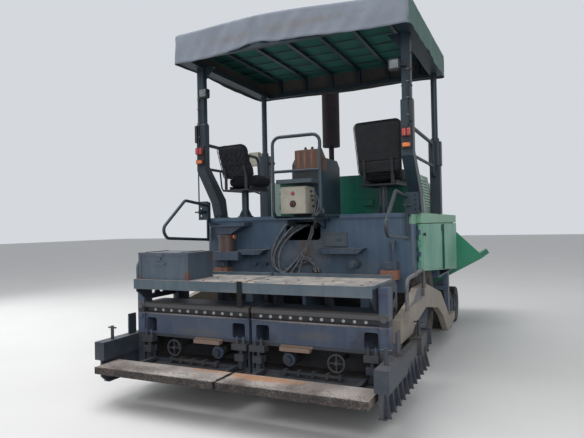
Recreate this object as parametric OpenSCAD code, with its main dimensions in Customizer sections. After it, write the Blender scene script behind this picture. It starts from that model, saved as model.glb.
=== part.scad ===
// Wheeled asphalt paver with an extending screed, millimetres.
// +Y is the driving direction, +X the right side, Z = 0 the ground.
// The origin is on the ground under the middle of the machine.

/* [Hull] */
// Half width of the hull above the wheels
hull_half_w = 1210; // [1190:5:1230]
// Rear face of the hull's rear wall
hull_rear_y = -1420; // [-1440:5:-1400]
// Front face of the hull's front wall
hull_front_y = 1590; // [1570:5:1600]
// Height of the operator floor
floor_z = 1710; // [1690:5:1740]
// Gap between a rear tyre and the frame
tyre_gap = 30; // [25:1:50]
// Underside of the frame
frame_low_z = 380; // [340:5:400]
// Top of the frame
frame_top_z = 940; // [920:5:980]
// Thickness of the frame's plates
frame_t = 40; // [25:1:45]
// Thickness of the hull's plates
hull_t = 30; // [20:1:35]
// Distance of the hood's left side from the centre line
hood_left_w = 665; // [660:5:700]
// Height of the engine hood
hood_top_z = 2200; // [2100:10:2260]
// Thickness of the side doors
door_t = 38; // [25:1:40]

/* [Wheels] */
// Radius of the driven rear wheels
rear_wheel_r = 690; // [660:5:710]
// Width of the rear tyres
rear_wheel_w = 400; // [360:5:400]
// Place of the rear axle
rear_axle_y = -580; // [-620:5:-560]
// Radius of the steered front wheels
front_wheel_r = 280; // [260:5:285]
// Width of the front wheels
front_wheel_w = 300; // [240:5:300]
// Place of the bogies' pivots
bogie_y = 1800; // [1790:5:1830]
// Distance between a bogie's two wheels
bogie_pitch = 640; // [630:5:660]

/* [Canopy] */
// Half width of the canopy
canopy_half_w = 1335; // [1300:5:1360]
// Rear edge of the canopy
canopy_rear_y = -1880; // [-1950:10:-1820]
// Front edge of the canopy
canopy_front_y = 230; // [180:10:260]
// Height of the canopy's lower hem
canopy_hem_z = 3455; // [3400:5:3480]
// Height of the canopy's side skirts
canopy_skirt = 290; // [250:5:320]
// Section of the rear posts
rear_post_w = 90; // [70:2:100]

/* [Hopper] */
// Front end of the hopper floor
hopper_front_y = 2950; // [2900:10:2980]
// Radius of the push rollers
push_roller_r = 80; // [60:2:90]
// Length of one push roller
push_roller_len = 580; // [480:10:600]
// Slope of an opened hopper wing
wing_slope = 31; // [25:1:33]
// Width of a hopper wing along its slope
wing_w = 1000; // [900:10:1010]

/* [Screed] */
// Height of the screed plate above the ground, lifted as parked
screed_z = 200; // [190:5:240]
// Front of the main screed
screed_front_y = -1880; // [-1920:5:-1870]
// Height of the upper deck
deck_z = 1116; // [1100:2:1140]
// Rear edge of the upper deck
deck_rear_y = -2755; // [-2790:5:-2740]
// Rear edge of the folded-down walkways
walkway_rear_y = -3180; // [-3220:5:-3160]
// Radius of the augers
auger_r = 190; // [160:5:195]
// Place of the tow points
tow_y = 1085; // [1070:5:1090]
// Height of the tow points
tow_z = 280; // [260:5:300]
// Width of a tow arm across the machine
arm_t = 70; // [50:2:74]

/* [Hidden] */
$fn = 48;
// Radial clearance of a pin in its bore
fit = 0.05;
// Clearance between pieces that rest on each other
seat = 0.3;
// Clearance between pieces that move past each other
clear = 6;
// Room between a rear tyre and the door beside it
tyre_room = 40;
// Widths that follow from the hull's
frame_half_w = hull_half_w - tyre_room - rear_wheel_w - tyre_gap;
rear_wheel_x = frame_half_w + tyre_gap + rear_wheel_w / 2;
hopper_half_w = frame_half_w - 50;
hood_half_w = hull_half_w - 210;
post_x = hull_half_w + 5;
screed_half_w = hull_half_w - 25;
RIGHT = 1;
LEFT = -1;

hull_grey = "#4b5765";
screed_grey = "#4a4d5a";
hood_green = "#005c45";
door_green = "#6fa583";
rubber = "#1d1d1f";
steel = "#77787a";
rust = "#8a5a34";
dust = "#a08a78";
vinyl = "#26262b";
tarp = "#8f8f94";

// A block from its lowest and highest corners
module span(low, high) {
  translate(low) cube(high - low);
}

// Copies its children to both sides of the machine
module both_sides() {
  children();
  mirror([1, 0, 0]) children();
}

// Puts a child made for the right side on the given side
module on_side(side) {
  if (side == RIGHT) children();
  else mirror([1, 0, 0]) children();
}

// A round bar along X, from x0 to x1
module bar_x(r, x0, x1, y, z) {
  translate([x0, y, z]) rotate([0, 90, 0]) cylinder(h = x1 - x0, r = r);
}

// A round bar along Y
module bar_y(r, y0, y1, x, z) {
  translate([x, y0, z]) rotate([-90, 0, 0]) cylinder(h = y1 - y0, r = r);
}

// A round bar along Z
module bar_z(r, z0, z1, x, y) {
  translate([x, y, z0]) cylinder(h = z1 - z0, r = r);
}

// An outline of [y, z] points, drawn out along X
module plate_yz(points, x0, x1) {
  translate([x0, 0, 0]) rotate([90, 0, 90]) linear_extrude(x1 - x0) polygon(points);
}

// An outline of [x, z] points, drawn out along Y
module plate_xz(points, y0, y1) {
  translate([0, y1, 0]) rotate([90, 0, 0]) linear_extrude(y1 - y0) polygon(points);
}

// A rectangle with round corners, from its lowest and highest corners
module rounded(low, high, r) {
  translate([low.x + r, low.y]) square([high.x - low.x - 2 * r, high.y - low.y]);
  translate([low.x, low.y + r]) square([high.x - low.x, high.y - low.y - 2 * r]);
  for (x = [low.x + r, high.x - r], y = [low.y + r, high.y - r]) translate([x, y]) circle(r);
}

// A rounded block or opening that stands across Y, from [x, z] to [x, z]
module rounded_xz(low, high, r, y0, y1) {
  translate([0, y1, 0]) rotate([90, 0, 0]) linear_extrude(y1 - y0) rounded(low, high, r);
}

function unit(v) = v / norm(v);

// Points and directions along the bend at corner i of a path, as [point, direction]
function bend_at(p, i, bend, steps) =
  let (a = unit(p[i] - p[i - 1]), b = unit(p[i + 1] - p[i]),
    t = acos(max(-1, min(1, a * b))),
    n = unit(b - a * (a * b)),
    c = p[i] - a * bend * tan(t / 2) + bend * n)
  [for (k = [0 : steps]) let (f = t * k / steps)
    [c + bend * (a * sin(f) - n * cos(f)), a * cos(f) + n * sin(f)]];

function bent_path(p, bend, steps) = let (last = len(p) - 1) [
  [p[0], unit(p[1] - p[0])],
  for (i = [1 : 1 : last - 1]) each bend_at(p, i, bend, steps),
  [p[last], unit(p[last] - p[last - 1])]
];

// A solid through rings of points, each ring with the same number of them
module swept(points, sides) {
  n = len(points) / sides;
  faces = concat(
    [[for (k = [0 : sides - 1]) sides - 1 - k]],
    [for (i = [0 : n - 2], k = [0 : sides - 1])
      let (a = i * sides + k, b = i * sides + (k + 1) % sides) each
      [[a, b, b + sides], [a, b + sides, a + sides]]],
    [[for (k = [0 : sides - 1]) (n - 1) * sides + k]]);
  polyhedron(points, [for (f = faces) [for (k = [len(f) - 1 : -1 : 0]) f[k]]]);
}

// A round tube along a path of [x, y, z] corners, each bent to one radius
module tube(p, r, bend, across, sides = 12, steps = 5) {
  swept([for (s = bent_path(p, bend, steps))
    let (u = unit(cross(s[1], across)), v = cross(s[1], u))
    for (k = [0 : sides - 1])
      let (f = 360 * (k + 0.5) / sides) s[0] + r * (u * cos(f) + v * sin(f))], sides);
}

// Frame between the wheels, with two conveyor tunnels
tunnel_z = frame_low_z + frame_t;
tunnel_top_z = frame_top_z - frame_t;
tunnel_x0 = frame_t / 2;
tunnel_x1 = hopper_half_w - frame_t;
frame_rear_y = hull_rear_y + frame_t;
frame_front_y = hull_front_y - hull_t;
auger_y = -1650;
auger_z = 420;
auger_pin_r = 25;
auger_case_w = 60;
arm_x1 = screed_half_w + 77;
arm_x0 = arm_x1 - arm_t;
guide_x0 = arm_x0 - 62;
bogie_room_y = bogie_y - 420;
bogie_room_z = 600;

module main_frame() {
  color(hull_grey) {
    difference() {
      span([-frame_half_w, frame_rear_y, frame_low_z],
        [frame_half_w, frame_front_y, frame_top_z]);
      both_sides() {
        span([tunnel_x0, frame_rear_y - 1, tunnel_z], [tunnel_x1, frame_front_y + 1, tunnel_top_z]);
        span([hopper_half_w, bogie_room_y, frame_low_z - 1],
          [frame_half_w + 1, frame_front_y + 1, bogie_room_z]);
      }
    }
    difference() {
      span([-auger_case_w, auger_y - 70, auger_z - 90],
        [auger_case_w, frame_rear_y, auger_z + 120]);
      bar_x(auger_pin_r + fit, -auger_case_w - 1, auger_case_w + 1, auger_y, auger_z);
    }
    both_sides() tow_guide();
  }
}

// Upright that holds the tow point, on a bracket from the frame
tow_pin_r = 30;
guide_low_z = 140;
guide_top_z = 900;
module tow_guide() {
  difference() {
    union() {
      span([guide_x0, tow_y - 60, guide_low_z], [arm_x0 - seat, tow_y + 60, guide_top_z]);
      span([frame_half_w, tow_y - 90, 640], [guide_x0, tow_y + 90, 700]);
    }
    bar_x(tow_pin_r + fit, guide_x0 - 1, arm_x0 + 1, tow_y, tow_z);
  }
}

// Hull above the wheels
door_y0 = -1145;
door_split_y = 200;
door_y1 = 1550;
door_top_z = 1594;
door_gap = 8;
door_x0 = hull_half_w + 3;
door_x1 = door_x0 + door_t;
shelf_z = 1430;
bay_y = 150;
sill_z = 900;
arm_room_z = 1050;
hinge_r = 14;
function door_low_z(y) = 1100 - (y - door_y0) * 200 / (door_y1 - door_y0);

// Opening for the hoses in the rear wall, as [x, z] corners
hose_port = [[-181, 1439], [231, 1645]];
module upper_body() {
  color(hull_grey) {
    difference() {
      span([-hull_half_w, hull_rear_y, arm_room_z], [hull_half_w, frame_rear_y, floor_z]);
      rounded_xz(hose_port[0], hose_port[1], 40, hull_rear_y - 1, frame_rear_y + 1);
    }
    span([-hull_half_w, hull_rear_y - 14, floor_z - 42], [hull_half_w, hull_rear_y, floor_z]);
    span([-arm_x0 + 40, hull_rear_y, sill_z], [arm_x0 - 40, frame_rear_y, arm_room_z]);
    difference() {
      span([-hull_half_w, frame_rear_y, floor_z - hull_t],
        [hull_half_w, frame_front_y, floor_z]);
      span([-tunnel_x1, -500, floor_z - hull_t - 1], [tunnel_x1, door_y1 - 30, floor_z + 1]);
    }
    difference() {
      span([-hull_half_w, frame_front_y, sill_z], [hull_half_w, hull_front_y, floor_z]);
      span([-frame_half_w, frame_front_y - 1, sill_z - 1],
        [frame_half_w, hull_front_y + 1, frame_top_z]);
    }
    both_sides() {
      span([frame_half_w - frame_t, frame_rear_y, frame_top_z],
        [frame_half_w, frame_front_y, floor_z - hull_t]);
      span([frame_half_w, frame_rear_y, shelf_z], [hull_half_w, bay_y, shelf_z + 20]);
      span([frame_half_w, bay_y, sill_z], [hull_half_w, bay_y + hull_t, floor_z - hull_t]);
      span([frame_half_w, bay_y + hull_t, sill_z], [hull_half_w, frame_front_y, sill_z + 20]);
      span([hull_half_w, door_y0, door_top_z + door_gap], [door_x1, door_y1, floor_z]);
      span([hull_half_w - hull_t, frame_rear_y, arm_room_z],
        [hull_half_w, door_y0 - 8, floor_z - hull_t]);
      door_lugs();
    }
    for (x = lid_lug_x) hood_lug(x);
  }
}

// Fixed barrels of the doors' hinges, at the two outer edges
hinge_h = 50;
door_hinge_z = [1250, 1480];
module door_lugs() {
  for (y = [door_y0 - hinge_r - 2, door_y1 + hinge_r + 2], z = door_hinge_z)
    difference() {
      union() {
        bar_z(hinge_r, z, z + hinge_h, door_x1 - hinge_r, y);
        span([hull_half_w - 60, y - 6, z], [door_x1 - hinge_r, y + 6, z + hinge_h]);
      }
      bar_z(6 + fit, z - 1, z + hinge_h + 1, door_x1 - hinge_r, y);
    }
}

// A side door for the right side, between two places, hinged at one of them
module side_door(y0, y1, hinge_y, into) {
  axis_y = hinge_y - into * (hinge_r + 2);
  axis_x = door_x1 - hinge_r;
  color(door_green) {
    plate_yz([[y0, door_low_z(y0)], [y1, door_low_z(y1)], [y1, door_top_z], [y0, door_top_z]],
      door_x0, door_x1);
    for (z = door_hinge_z)
      for (low = [z - hinge_h - seat, z + hinge_h + seat])
        difference() {
          union() {
            bar_z(hinge_r, low, low + hinge_h, axis_x, axis_y);
            span([axis_x - 6, min(axis_y, hinge_y), low],
              [axis_x + 6, max(axis_y, hinge_y), low + hinge_h]);
          }
        }
    for (z = door_hinge_z) bar_z(6, z - 10, z + hinge_h + 10, axis_x, axis_y);
  }
}

module door_rear(side) {
  on_side(side) side_door(door_y0, door_split_y - door_gap / 2, door_y0, 1);
}

module door_front(side) {
  on_side(side) side_door(door_split_y + door_gap / 2, door_y1, door_y1, -1);
}

// Engine
engine_half_w = 400;
engine_y0 = -250;
engine_y1 = 950;
engine_top_z = 1660;
module engine() {
  color(steel) span([-engine_half_w, engine_y0, frame_top_z],
    [engine_half_w, engine_y1, engine_top_z]);
}

// Hood: fixed rear part with two air intakes, and a lid in front
hood_y0 = -560;
hood_split_y = 620;
hood_t = 20;
hood_round = 120;
intake_w = 140;
exhaust_x = -310;
exhaust_y = 420;
pipe_r = 38;

module hood_outline(inset) {
  rounded([inset - hood_left_w, -hood_round], [hood_half_w - inset, hood_top_z - floor_z - inset],
    hood_round - inset);
}

module hood_shell(y0, y1) {
  intersection() {
    translate([0, y1, floor_z]) rotate([90, 0, 0]) linear_extrude(y1 - y0)
      difference() {
        hood_outline(0);
        hood_outline(hood_t);
      }
    span([-hood_left_w - 1, y0 - 1, floor_z], [hood_half_w + 1, y1 + 1, hood_top_z + 1]);
  }
}

// End wall of the hood, from y0 to y0 + hood_t
module hood_wall(y0) {
  intersection() {
    translate([0, y0 + hood_t, floor_z]) rotate([90, 0, 0])
      linear_extrude(hood_t) hood_outline(hood_t - 1);
    span([-hood_left_w, y0 - 1, floor_z], [hood_half_w, y0 + hood_t + 1, hood_top_z]);
  }
}

seam_z = 1898;
module hood() {
  color(hood_green) {
    difference() {
      union() {
        hood_shell(hood_y0, hood_split_y);
        hood_wall(hood_y0);
      }
      bar_z(pipe_r + 20, floor_z, hood_top_z + 1, exhaust_x, exhaust_y);
      span([-hood_left_w - 1, hood_y0 - 1, seam_z], [hood_half_w + 1, hood_y0 + 6, seam_z + 8]);
      for (x = [-320, 330]) span([x, hood_y0 - 1, floor_z - 1], [x + 8, hood_y0 + 6, seam_z + 1]);
    }
    for (x = [463, 573]) span([x, hood_y0 - 40, 1824], [x + 12, hood_y0 + 1, 1896]);
    span([463, hood_y0 - 40, 1824], [585, hood_y0 - 28, 1896]);
    translate([hood_half_w, 0, 0]) intake();
    mirror([1, 0, 0]) translate([hood_left_w, 0, 0]) intake();
  }
}

// Louvred box beside the hood, with slots that step forward as they go down
intake_slats = 10;
intake_top_z = 2165;
intake_y1 = 345;
module intake() {
  difference() {
    plate_yz([[hood_y0, floor_z], [intake_y1, floor_z], [-95, intake_top_z], [hood_y0, intake_top_z]],
      -1, intake_w);
    for (i = [0 : intake_slats - 1]) {
      z = intake_top_z - 65 - i * 34;
      span([intake_w - 25, hood_y0 + 30 + i * 34, z], [intake_w + 1, i * 40 - 190, z + 13]);
    }
    span([intake_w - 8, hood_y0 + 12, floor_z + 6], [intake_w + 1, hood_y0 + 18, intake_top_z + 1]);
  }
}

lid_axis_y = hull_front_y - 14;
lid_axis_z = floor_z + 30;
lid_lug_x = [-600, 600];
// Ends of the stiffening beads across the lid
x_lid = [-520, 860];
module hood_lug(x) {
  difference() {
    union() {
      bar_x(14, x, x + 30, lid_axis_y, lid_axis_z);
      span([x, lid_axis_y - 14, floor_z], [x + 30, lid_axis_y + 14, lid_axis_z]);
    }
    bar_x(8 + fit, x - 1, x + 31, lid_axis_y, lid_axis_z);
  }
}

module hood_lid() {
  low = floor_z + clear;
  front = lid_axis_y - 20;
  y0 = hood_split_y + clear;
  color(hood_green) {
    intersection() {
      union() {
        hood_shell(y0, front);
        hood_wall(front - hood_t);
      }
      span([-hood_left_w - 1, y0 - 1, low], [hood_half_w + 1, front + 1, hood_top_z + 1]);
    }
    for (y = [y0 + 250, y0 + 600]) span([x_lid[0], y, hood_top_z - 1], [x_lid[1], y + 60, hood_top_z + 12]);
    for (x = lid_lug_x) {
      bar_x(8, x - 24, x + 54, lid_axis_y, lid_axis_z);
      for (e = [x - 24, x + 30 + seat])
        union() {
          bar_x(14, e, e + 24 - seat, lid_axis_y, lid_axis_z);
          span([e, front - 1, lid_axis_z - 8], [e + 24 - seat, lid_axis_y, lid_axis_z + 8]);
        }
    }
  }
}

// Exhaust stack
silencer_r = 125;
silencer_z0 = 2730;
silencer_z1 = 3560;
module exhaust() {
  color(rust) {
    bar_z(pipe_r, engine_top_z, silencer_z1 + 120, exhaust_x, exhaust_y);
    bar_z(silencer_r, silencer_z0, silencer_z1, exhaust_x, exhaust_y);
  }
}

// Canopy posts
post_rear_y = -1500;
post_foot_y = -1110;
post_kink_z = 2300;
// Top of the posts' wider lower part, and how much wider it is on each side
post_wide_z = 2810;
post_wide = 14;
post_front_y = 70;
front_post_w = 125;
post_box_z = 2440;
front_collar_z = 2620;
front_tube_r = 38;
rail_r = 20;
canopy_frame_z = canopy_hem_z + 25;
post_top_z = canopy_frame_z;

module canopy_posts() {
  w = rear_post_w;
  x0 = post_x - w / 2;
  x1 = post_x + w / 2;
  half = front_post_w / 2;
  color(hull_grey) both_sides() {
    plate_yz([[post_foot_y - w, floor_z], [post_foot_y + w / 2, floor_z],
      [post_foot_y, floor_z + 230], [post_rear_y + w / 2, post_kink_z + 20],
      [post_rear_y + w / 2, post_wide_z], [post_rear_y + w / 2 - 15, post_wide_z + 20],
      [post_rear_y - w / 2 + 15, post_wide_z + 20], [post_rear_y - w / 2, post_wide_z],
      [post_rear_y - w / 2, post_kink_z - 30], [post_foot_y - w - 60, floor_z + 190]],
      x0 - post_wide, x1 + post_wide);
    span([x0, post_rear_y - w / 2 + 10, post_wide_z], [x1, post_rear_y + w / 2 - 10, post_top_z]);
    span([x0 - 25, post_foot_y - w - 20, floor_z], [x1, post_foot_y + w / 2 + 30, floor_z + 14]);
    span([post_x - half, post_front_y - half, floor_z], [post_x + half, post_front_y + half, post_box_z]);
    translate([0, 0, post_box_z - 120]) linear_extrude(front_collar_z - post_box_z + 120)
      rounded([post_x - half - 15, post_front_y - half - 15],
        [post_x + half + 15, post_front_y + half + 15], 40);
    bar_z(front_tube_r + 14, front_collar_z, front_collar_z + 45, post_x, post_front_y);
    bar_z(front_tube_r, front_collar_z, post_top_z, post_x, post_front_y);
    tube([[post_x, post_rear_y, 2590], [post_x, -150, 2575], [post_x, -110, 2190],
      [post_x, post_front_y, 2185]], rail_r, 90, [1, 0, 0]);
    bar_y(rail_r - 3, post_rear_y, post_front_y, post_x, 2300);
    for (z = [2960, 3120, 3280]) span([x0 - 8, post_rear_y - 22, z], [x1 + 8, post_rear_y + 22, z + 10]);
  }
}

// Steel frame under the canopy's cover
canopy_tube = 50;
canopy_wall = 12;
rib_h = 40;
rib_x = [-1000, -600, -200, 200, 600, 1000];
canopy_top_z = canopy_hem_z + canopy_skirt;
module canopy_frame() {
  x1 = canopy_half_w - canopy_wall - seat;
  y0 = canopy_rear_y + canopy_wall + seat;
  y1 = canopy_front_y - canopy_wall - seat;
  z0 = canopy_frame_z;
  z1 = z0 + canopy_tube;
  rib_z = canopy_top_z - canopy_wall - seat;
  brace_x = post_x - rear_post_w / 2 - seat;
  color(hull_grey) {
    difference() {
      span([-x1, y0, z0], [x1, y1, z1]);
      span([-x1 + canopy_tube, y0 + canopy_tube, z0 - 1],
        [x1 - canopy_tube, y1 - canopy_tube, z1 + 1]);
    }
    both_sides() {
      span([post_x - 50, y0 + 10, z0], [x1 - 10, y1 - 10, z1]);
      span([brace_x - 135, post_rear_y - 25, z0], [post_x - 49, post_rear_y + 25, z0 + 12]);
      plate_xz([[brace_x, z0 + 1], [brace_x, z0 - 150], [brace_x - 125, z0 + 1]],
        post_rear_y - 6, post_rear_y + 6);
    }
    for (x = rib_x) {
      span([x - 20, y0, rib_z - rib_h], [x + 20, y1, rib_z]);
      span([x - 20, y0, z0], [x + 20, y0 + canopy_tube, rib_z]);
      span([x - 20, y1 - canopy_tube, z0], [x + 20, y1, rib_z]);
    }
  }
}

module canopy_cover() {
  color(tarp) difference() {
    span([-canopy_half_w, canopy_rear_y, canopy_hem_z],
      [canopy_half_w, canopy_front_y, canopy_top_z]);
    span([-canopy_half_w + canopy_wall, canopy_rear_y + canopy_wall, canopy_hem_z - 1],
      [canopy_half_w - canopy_wall, canopy_front_y - canopy_wall, canopy_top_z - canopy_wall]);
  }
}

// Lamps on the rear posts
module lamps() {
  y = post_rear_y - rear_post_w / 2;
  color("#c8352a") both_sides() {
    span([post_x - 52, y - 12, 2330], [post_x + 48, y - seat, 2560]);
    rounded_xz([post_x - 44, 2455], [post_x + 2, 2535], 14, y - 52, y - 11);
    rounded_xz([post_x + 4, 2455], [post_x + 44, 2535], 14, y - 52, y - 11);
    rounded_xz([post_x - 44, 2345], [post_x + 40, 2395], 12, y - 48, y - 11);
    span([post_x + 34, y - 30, 2600], [post_x + 64, y - seat, 2800]);
    difference() {
      rounded_xz([post_x - 150, 3105], [post_x - 40, 3215], 20, y - 95, y - 20);
      rounded_xz([post_x - 141, 3114], [post_x - 49, 3206], 16, y - 96, y - 84);
    }
    span([post_x - 60, y - 30, 3150], [post_x + 10, y + 10 - seat, 3175]);
  }
}

// Operator console on the rear wall
console_x0 = -60;
console_x1 = 350;
console_y0 = -1680;
console_y1 = -1100;
console_top_z = 2310;
desk_z = 2170;
module console() {
  color("#2d4a46") {
    plate_yz([[-1620, 1680], [-1480, floor_z - 42], [hull_rear_y - 14 - seat, floor_z - 42],
      [hull_rear_y - 14 - seat, floor_z + seat], [console_y1, floor_z + seat], [console_y1, 2240],
      [console_y1 - 80, console_top_z], [-1560, console_top_z], [-1620, 2250]], 0, console_x1);
    plate_yz([[-1600, desk_z], [console_y0, desk_z], [console_y0, 2386], [-1610, 2402],
      [-1500, console_top_z - 1]], 60, 340);
    span([20, console_y0 + 12, 2060], [330, -1610, desk_z]);
    span([console_x0, console_y0 - 200, 2032], [console_x1 - 20, console_y0 + 12, 2046]);
    span([console_x0, console_y0 - 212, 2032], [console_x1 - 20, console_y0 - 200, 2072]);
    for (x = [console_x0, console_x1 - 34]) span([x, console_y0 - 200, 2046], [x + 14, -1630, 2072]);
    span([console_x0, console_y0 - 200, 1665], [console_x1, -1500, 1680]);
    for (x = [console_x0 + 20, console_x1 - 60])
      plate_yz([[-1700, 1666], [-1700, 1650], [-1450, 1560], [-1440, 1560], [-1440, 1666]], x, x + 12);
    span([console_x0, -1500, 1640], [console_x1, hull_rear_y - 14 - seat, 1670]);
    for (x = [40, 180]) bar_z(16, console_top_z - 1, console_top_z + 85, x, -1300);
    span([30, -1420, console_top_z - 1], [300, -1180, console_top_z + 14]);
  }
}

// Switch box behind the console, and the small box and knob on the front left post
module switch_box() {
  y = console_y0 - 180;
  bx = post_x + front_post_w / 2 + 15;
  color("#b8b49a") {
    span([-28, y, 1720], [255, -1620 - seat, 2000]);
    span([-14, y - 8, 1734], [241, y, 1986]);
    for (z = [1770, 1920]) bar_z(9, z, z + 40, -30, y - 2);
    translate([70, y - 7, 1930]) rotate([90, 0, 0]) cylinder(h = 16, r = 17);
    translate([75, y - 7, 1825]) rotate([90, 0, 0]) cylinder(h = 12, r = 36);
    translate([75, y - 18, 1825]) rotate([90, 0, 0]) cylinder(h = 22, r = 24);
    mirror([1, 0, 0]) {
      rounded_xz([bx + seat, 2490], [bx + 170, 2690], 25, 20, 110);
      bar_x(14, bx - front_post_w - 75, bx - front_post_w - 30 - seat, post_front_y, 2510);
      translate([bx - front_post_w - 80, post_front_y, 2510]) sphere(r = 30);
    }
  }
}

// Handrails: console bow and the two access loops on their bracket plates
loop_r = 17;
bow_x0 = -80;
bow_x1 = 440;
bow_y = console_y0 - 240;
bow_top_z = 2500;
bow_r = 17;
// Access loop as [distance behind the rear wall, height] corners
loop_path = [[40, 1860], [500, 1905], [905, 1590], [820, 1495], [20, 1455]];
// Holes up a bracket plate
bracket_holes = [1740, 1785, 1830, 1875];
module handrails() {
  x0 = hull_half_w - 14;
  lx = hull_half_w - 30;
  y = hull_rear_y - 14 - seat;
  color("#5d6673") {
    tube([[bow_x0, y, 1690], [bow_x0, bow_y, 1690], [bow_x0, bow_y, bow_top_z],
      [bow_x1, bow_y, bow_top_z], [bow_x1, bow_y, 1690], [bow_x1, y, 1690]],
      bow_r, 80, [0.6, 0.8, 0]);
    bar_x(bow_r - 2, bow_x0, bow_x1, bow_y, 2150);
    both_sides() {
      span([lx - 10, y - 60, 1440], [lx + 10, y, 1900]);
      span([x0, y - 60, 1690], [x0 + 10, y, 1910]);
      difference() {
        span([lx - 10, y - 60, 1690], [x0 + 104, y - 50, 1910]);
        for (z = bracket_holes) bar_y(11, y - 61, y - 49, x0 + 70, z);
      }
      span([x0, y - 200, 1760], [x0 + 10, y - 50, 1800]);
      bar_x(9, x0 - 20, x0 + 60, y - 190, 1780);
      tube([for (q = loop_path) [lx, hull_rear_y - q.x, q.y]], loop_r, 70, [1, 0, 0]);
    }
    bar_z(8, 1905, 2440, -post_x - 80, y - 55);
  }
}

// Trays below the rear wall's openings, as [left end, height, length]
wall_pans = [[-720, 1340, 335], [254, 1355, 497]];

// Pumps, clamps, blocks and trays on the rear wall
module wall_fittings() {
  y = hull_rear_y - seat;
  color(steel) {
    plate_xz([[-1076, 1620], [-614, 1620], [-660, 1608], [-815, 1520], [-986, 1520], [-1040, 1608]],
      y - 150, y);
    span([-1076, y - 190, 1608], [-614, y, 1620]);
    span([-1076, y - 190, 1620], [-1064, y, 1650]);
    span([-626, y - 190, 1620], [-614, y, 1650]);
    bar_z(94, 1321, 1506, -892, y - 110);
    bar_z(104, 1490, 1506, -892, y - 110);
    bar_x(26, -800, -775, y - 120, 1485);
    span([-1048, y - 210, 1226], [-689, y, 1321]);
    bar_x(40, -1080, -1040, y - 110, 1275);
    for (x = [-976, 1000]) {
      span([x - 73, y - 90, 1137], [x + 73, y, 1213]);
      rounded_xz([x - 45, 1150], [x + 45, 1200], 20, y - 104, y - 89);
      span([x - 88, y - 120, 1041], [x + 88, y, 1134]);
      bar_y(30, y - 135, y - 119, x, 1088);
    }
    bar_z(11, 1210, 1409, 1030, y - 60);
    bar_z(20, 1330, 1420, 1030, y - 60);
    span([1005, y - 80, 1400], [1055, y, 1430]);
    for (p = wall_pans) plate_xz([[p[0], p[1]], [p[0] + 60, p[1] - 55], [p[0] + p[2] - 60, p[1] - 55],
      [p[0] + p[2], p[1]]], y - 160, y);
    difference() {
      span([262, y - 22, 1373], [531, y, 1519]);
      span([276, y - 23, 1387], [517, y - 12, 1505]);
    }
    span([420, y - 30, 1436], [470, y - 8, 1456]);
    span([90, y - 200, 1004], [260, y, 1046]);
    bar_y(45, y - 160, y, 640, 1190);
    bar_y(30, y - 210, y - 150, 640, 1190);
    for (x = [-560, -430]) bar_y(22, y - 70, y, x, 1180);
  }
}

// Hoses from the port in the rear wall, down and back up to the block below it
hose_r = 13;
hose_count = 5;
hose_pitch = 30;
module hoses() {
  y = hull_rear_y - 20;
  color(rubber) {
    for (i = [0 : hose_count - 1]) {
      d = i * hose_pitch;
      yi = y - 20 - d;
      tube([[160 - d, hull_rear_y + 120, 1590 - d / 2], [120 - d, yi, 1570 - d / 2],
        [-300 + d / 2, yi, 1350 - d / 3], [-245 + d / 2, yi, 1090 + d / 4],
        [20, yi, 1130 + d / 2], [110 + d, yi, 1180], [115 + d, yi, 1070]],
        hose_r, 60, [0, 1, 0], 10, 4);
    }
    tube([[-1062, hull_rear_y - 172, 1607.7], [-1062, hull_rear_y - 172, 1400],
      [-1120, hull_rear_y - 140, 1250], [-1120, hull_rear_y - 80, 1088],
      [-1064.3, hull_rear_y - 80, 1088]], 11, 25, [0, 1, 0], 10, 4);
  }
  color(steel) for (i = [0 : hose_count - 1])
    bar_z(hose_r + 4, 1046, 1085, 115 + i * hose_pitch, y - 20 - i * hose_pitch);
}

// Seats
seat_z = 2080;
seat_x = [414 - hull_half_w, hull_half_w - 398];
seat_y = [-1250, -970];
seat_turn = [-8, -8];
// Widths of the two backs, where they stand behind the pivot, and how far they lean
back_w = [420, 560];
back_y = [-160, -120];
back_lean = [22, 6];
back_h = [400, 590];
// How far above the seat's plate the two backs stand out, and their lower ends
back_hold_z = 130;
back_low = [50, 70];
pad_w = [450, 480];
pad_y1 = [250, 290];
swivel_r = 30;
module seat_pedestals() {
  color(steel) for (i = [0, 1]) {
    x = seat_x[i];
    y = seat_y[i];
    difference() {
      union() {
        bar_z(95, floor_z + seat, floor_z + 16, x, y);
        bar_z(swivel_r + 12, floor_z + 10, seat_z - 60, x, y);
        for (a = [45 : 90 : 315]) translate([x, y, floor_z + 10]) rotate([0, 0, a])
          plate_xz([[swivel_r, 0], [85, 0], [swivel_r, 110]], -4, 4);
      }
      bar_z(swivel_r + fit, seat_z - 200, seat_z, x, y);
    }
  }
}

// Places a child made for a seat that looks forward
module at_seat(i) {
  translate([seat_x[i], seat_y[i], 0]) rotate([0, 0, seat_turn[i]]) children();
}

module seat_frame(i) {
  w = pad_w[i] / 2;
  y0 = back_y[i];
  pad_z = seat_z + back_hold_z;
  hold = 100 * [sin(back_lean[i]), cos(back_lean[i])];
  color(steel) at_seat(i) {
    bar_z(swivel_r, seat_z - 190, seat_z - 59, 0, 0);
    span([-w + 30, y0 - 20, seat_z - 59], [w - 30, pad_y1[i] - 30, seat_z - 40]);
    for (x = [-w + 60, w - 90]) span([x, y0 + 70, seat_z - 41], [x + 30, pad_y1[i] - 40, seat_z - seat]);
    for (x = [-w + 60, w - 90])
      plate_yz([[y0 - 20, seat_z - 41], [y0 - seat, seat_z - 41], [y0 - seat, pad_z],
        [y0 - seat - hold.x, pad_z + hold.y], [y0 - 14 - hold.x, pad_z + hold.y],
        [y0 - 20, pad_z - 20]], x, x + 30);
    if (i == 0) tube([[-285, -120, seat_z + 200], [-255, -120, seat_z - 50],
      [150, -120, seat_z - 52], [310, -120, seat_z - 105]], 10, 60, [0, 1, 0], 10, 4);
  }
}

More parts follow.
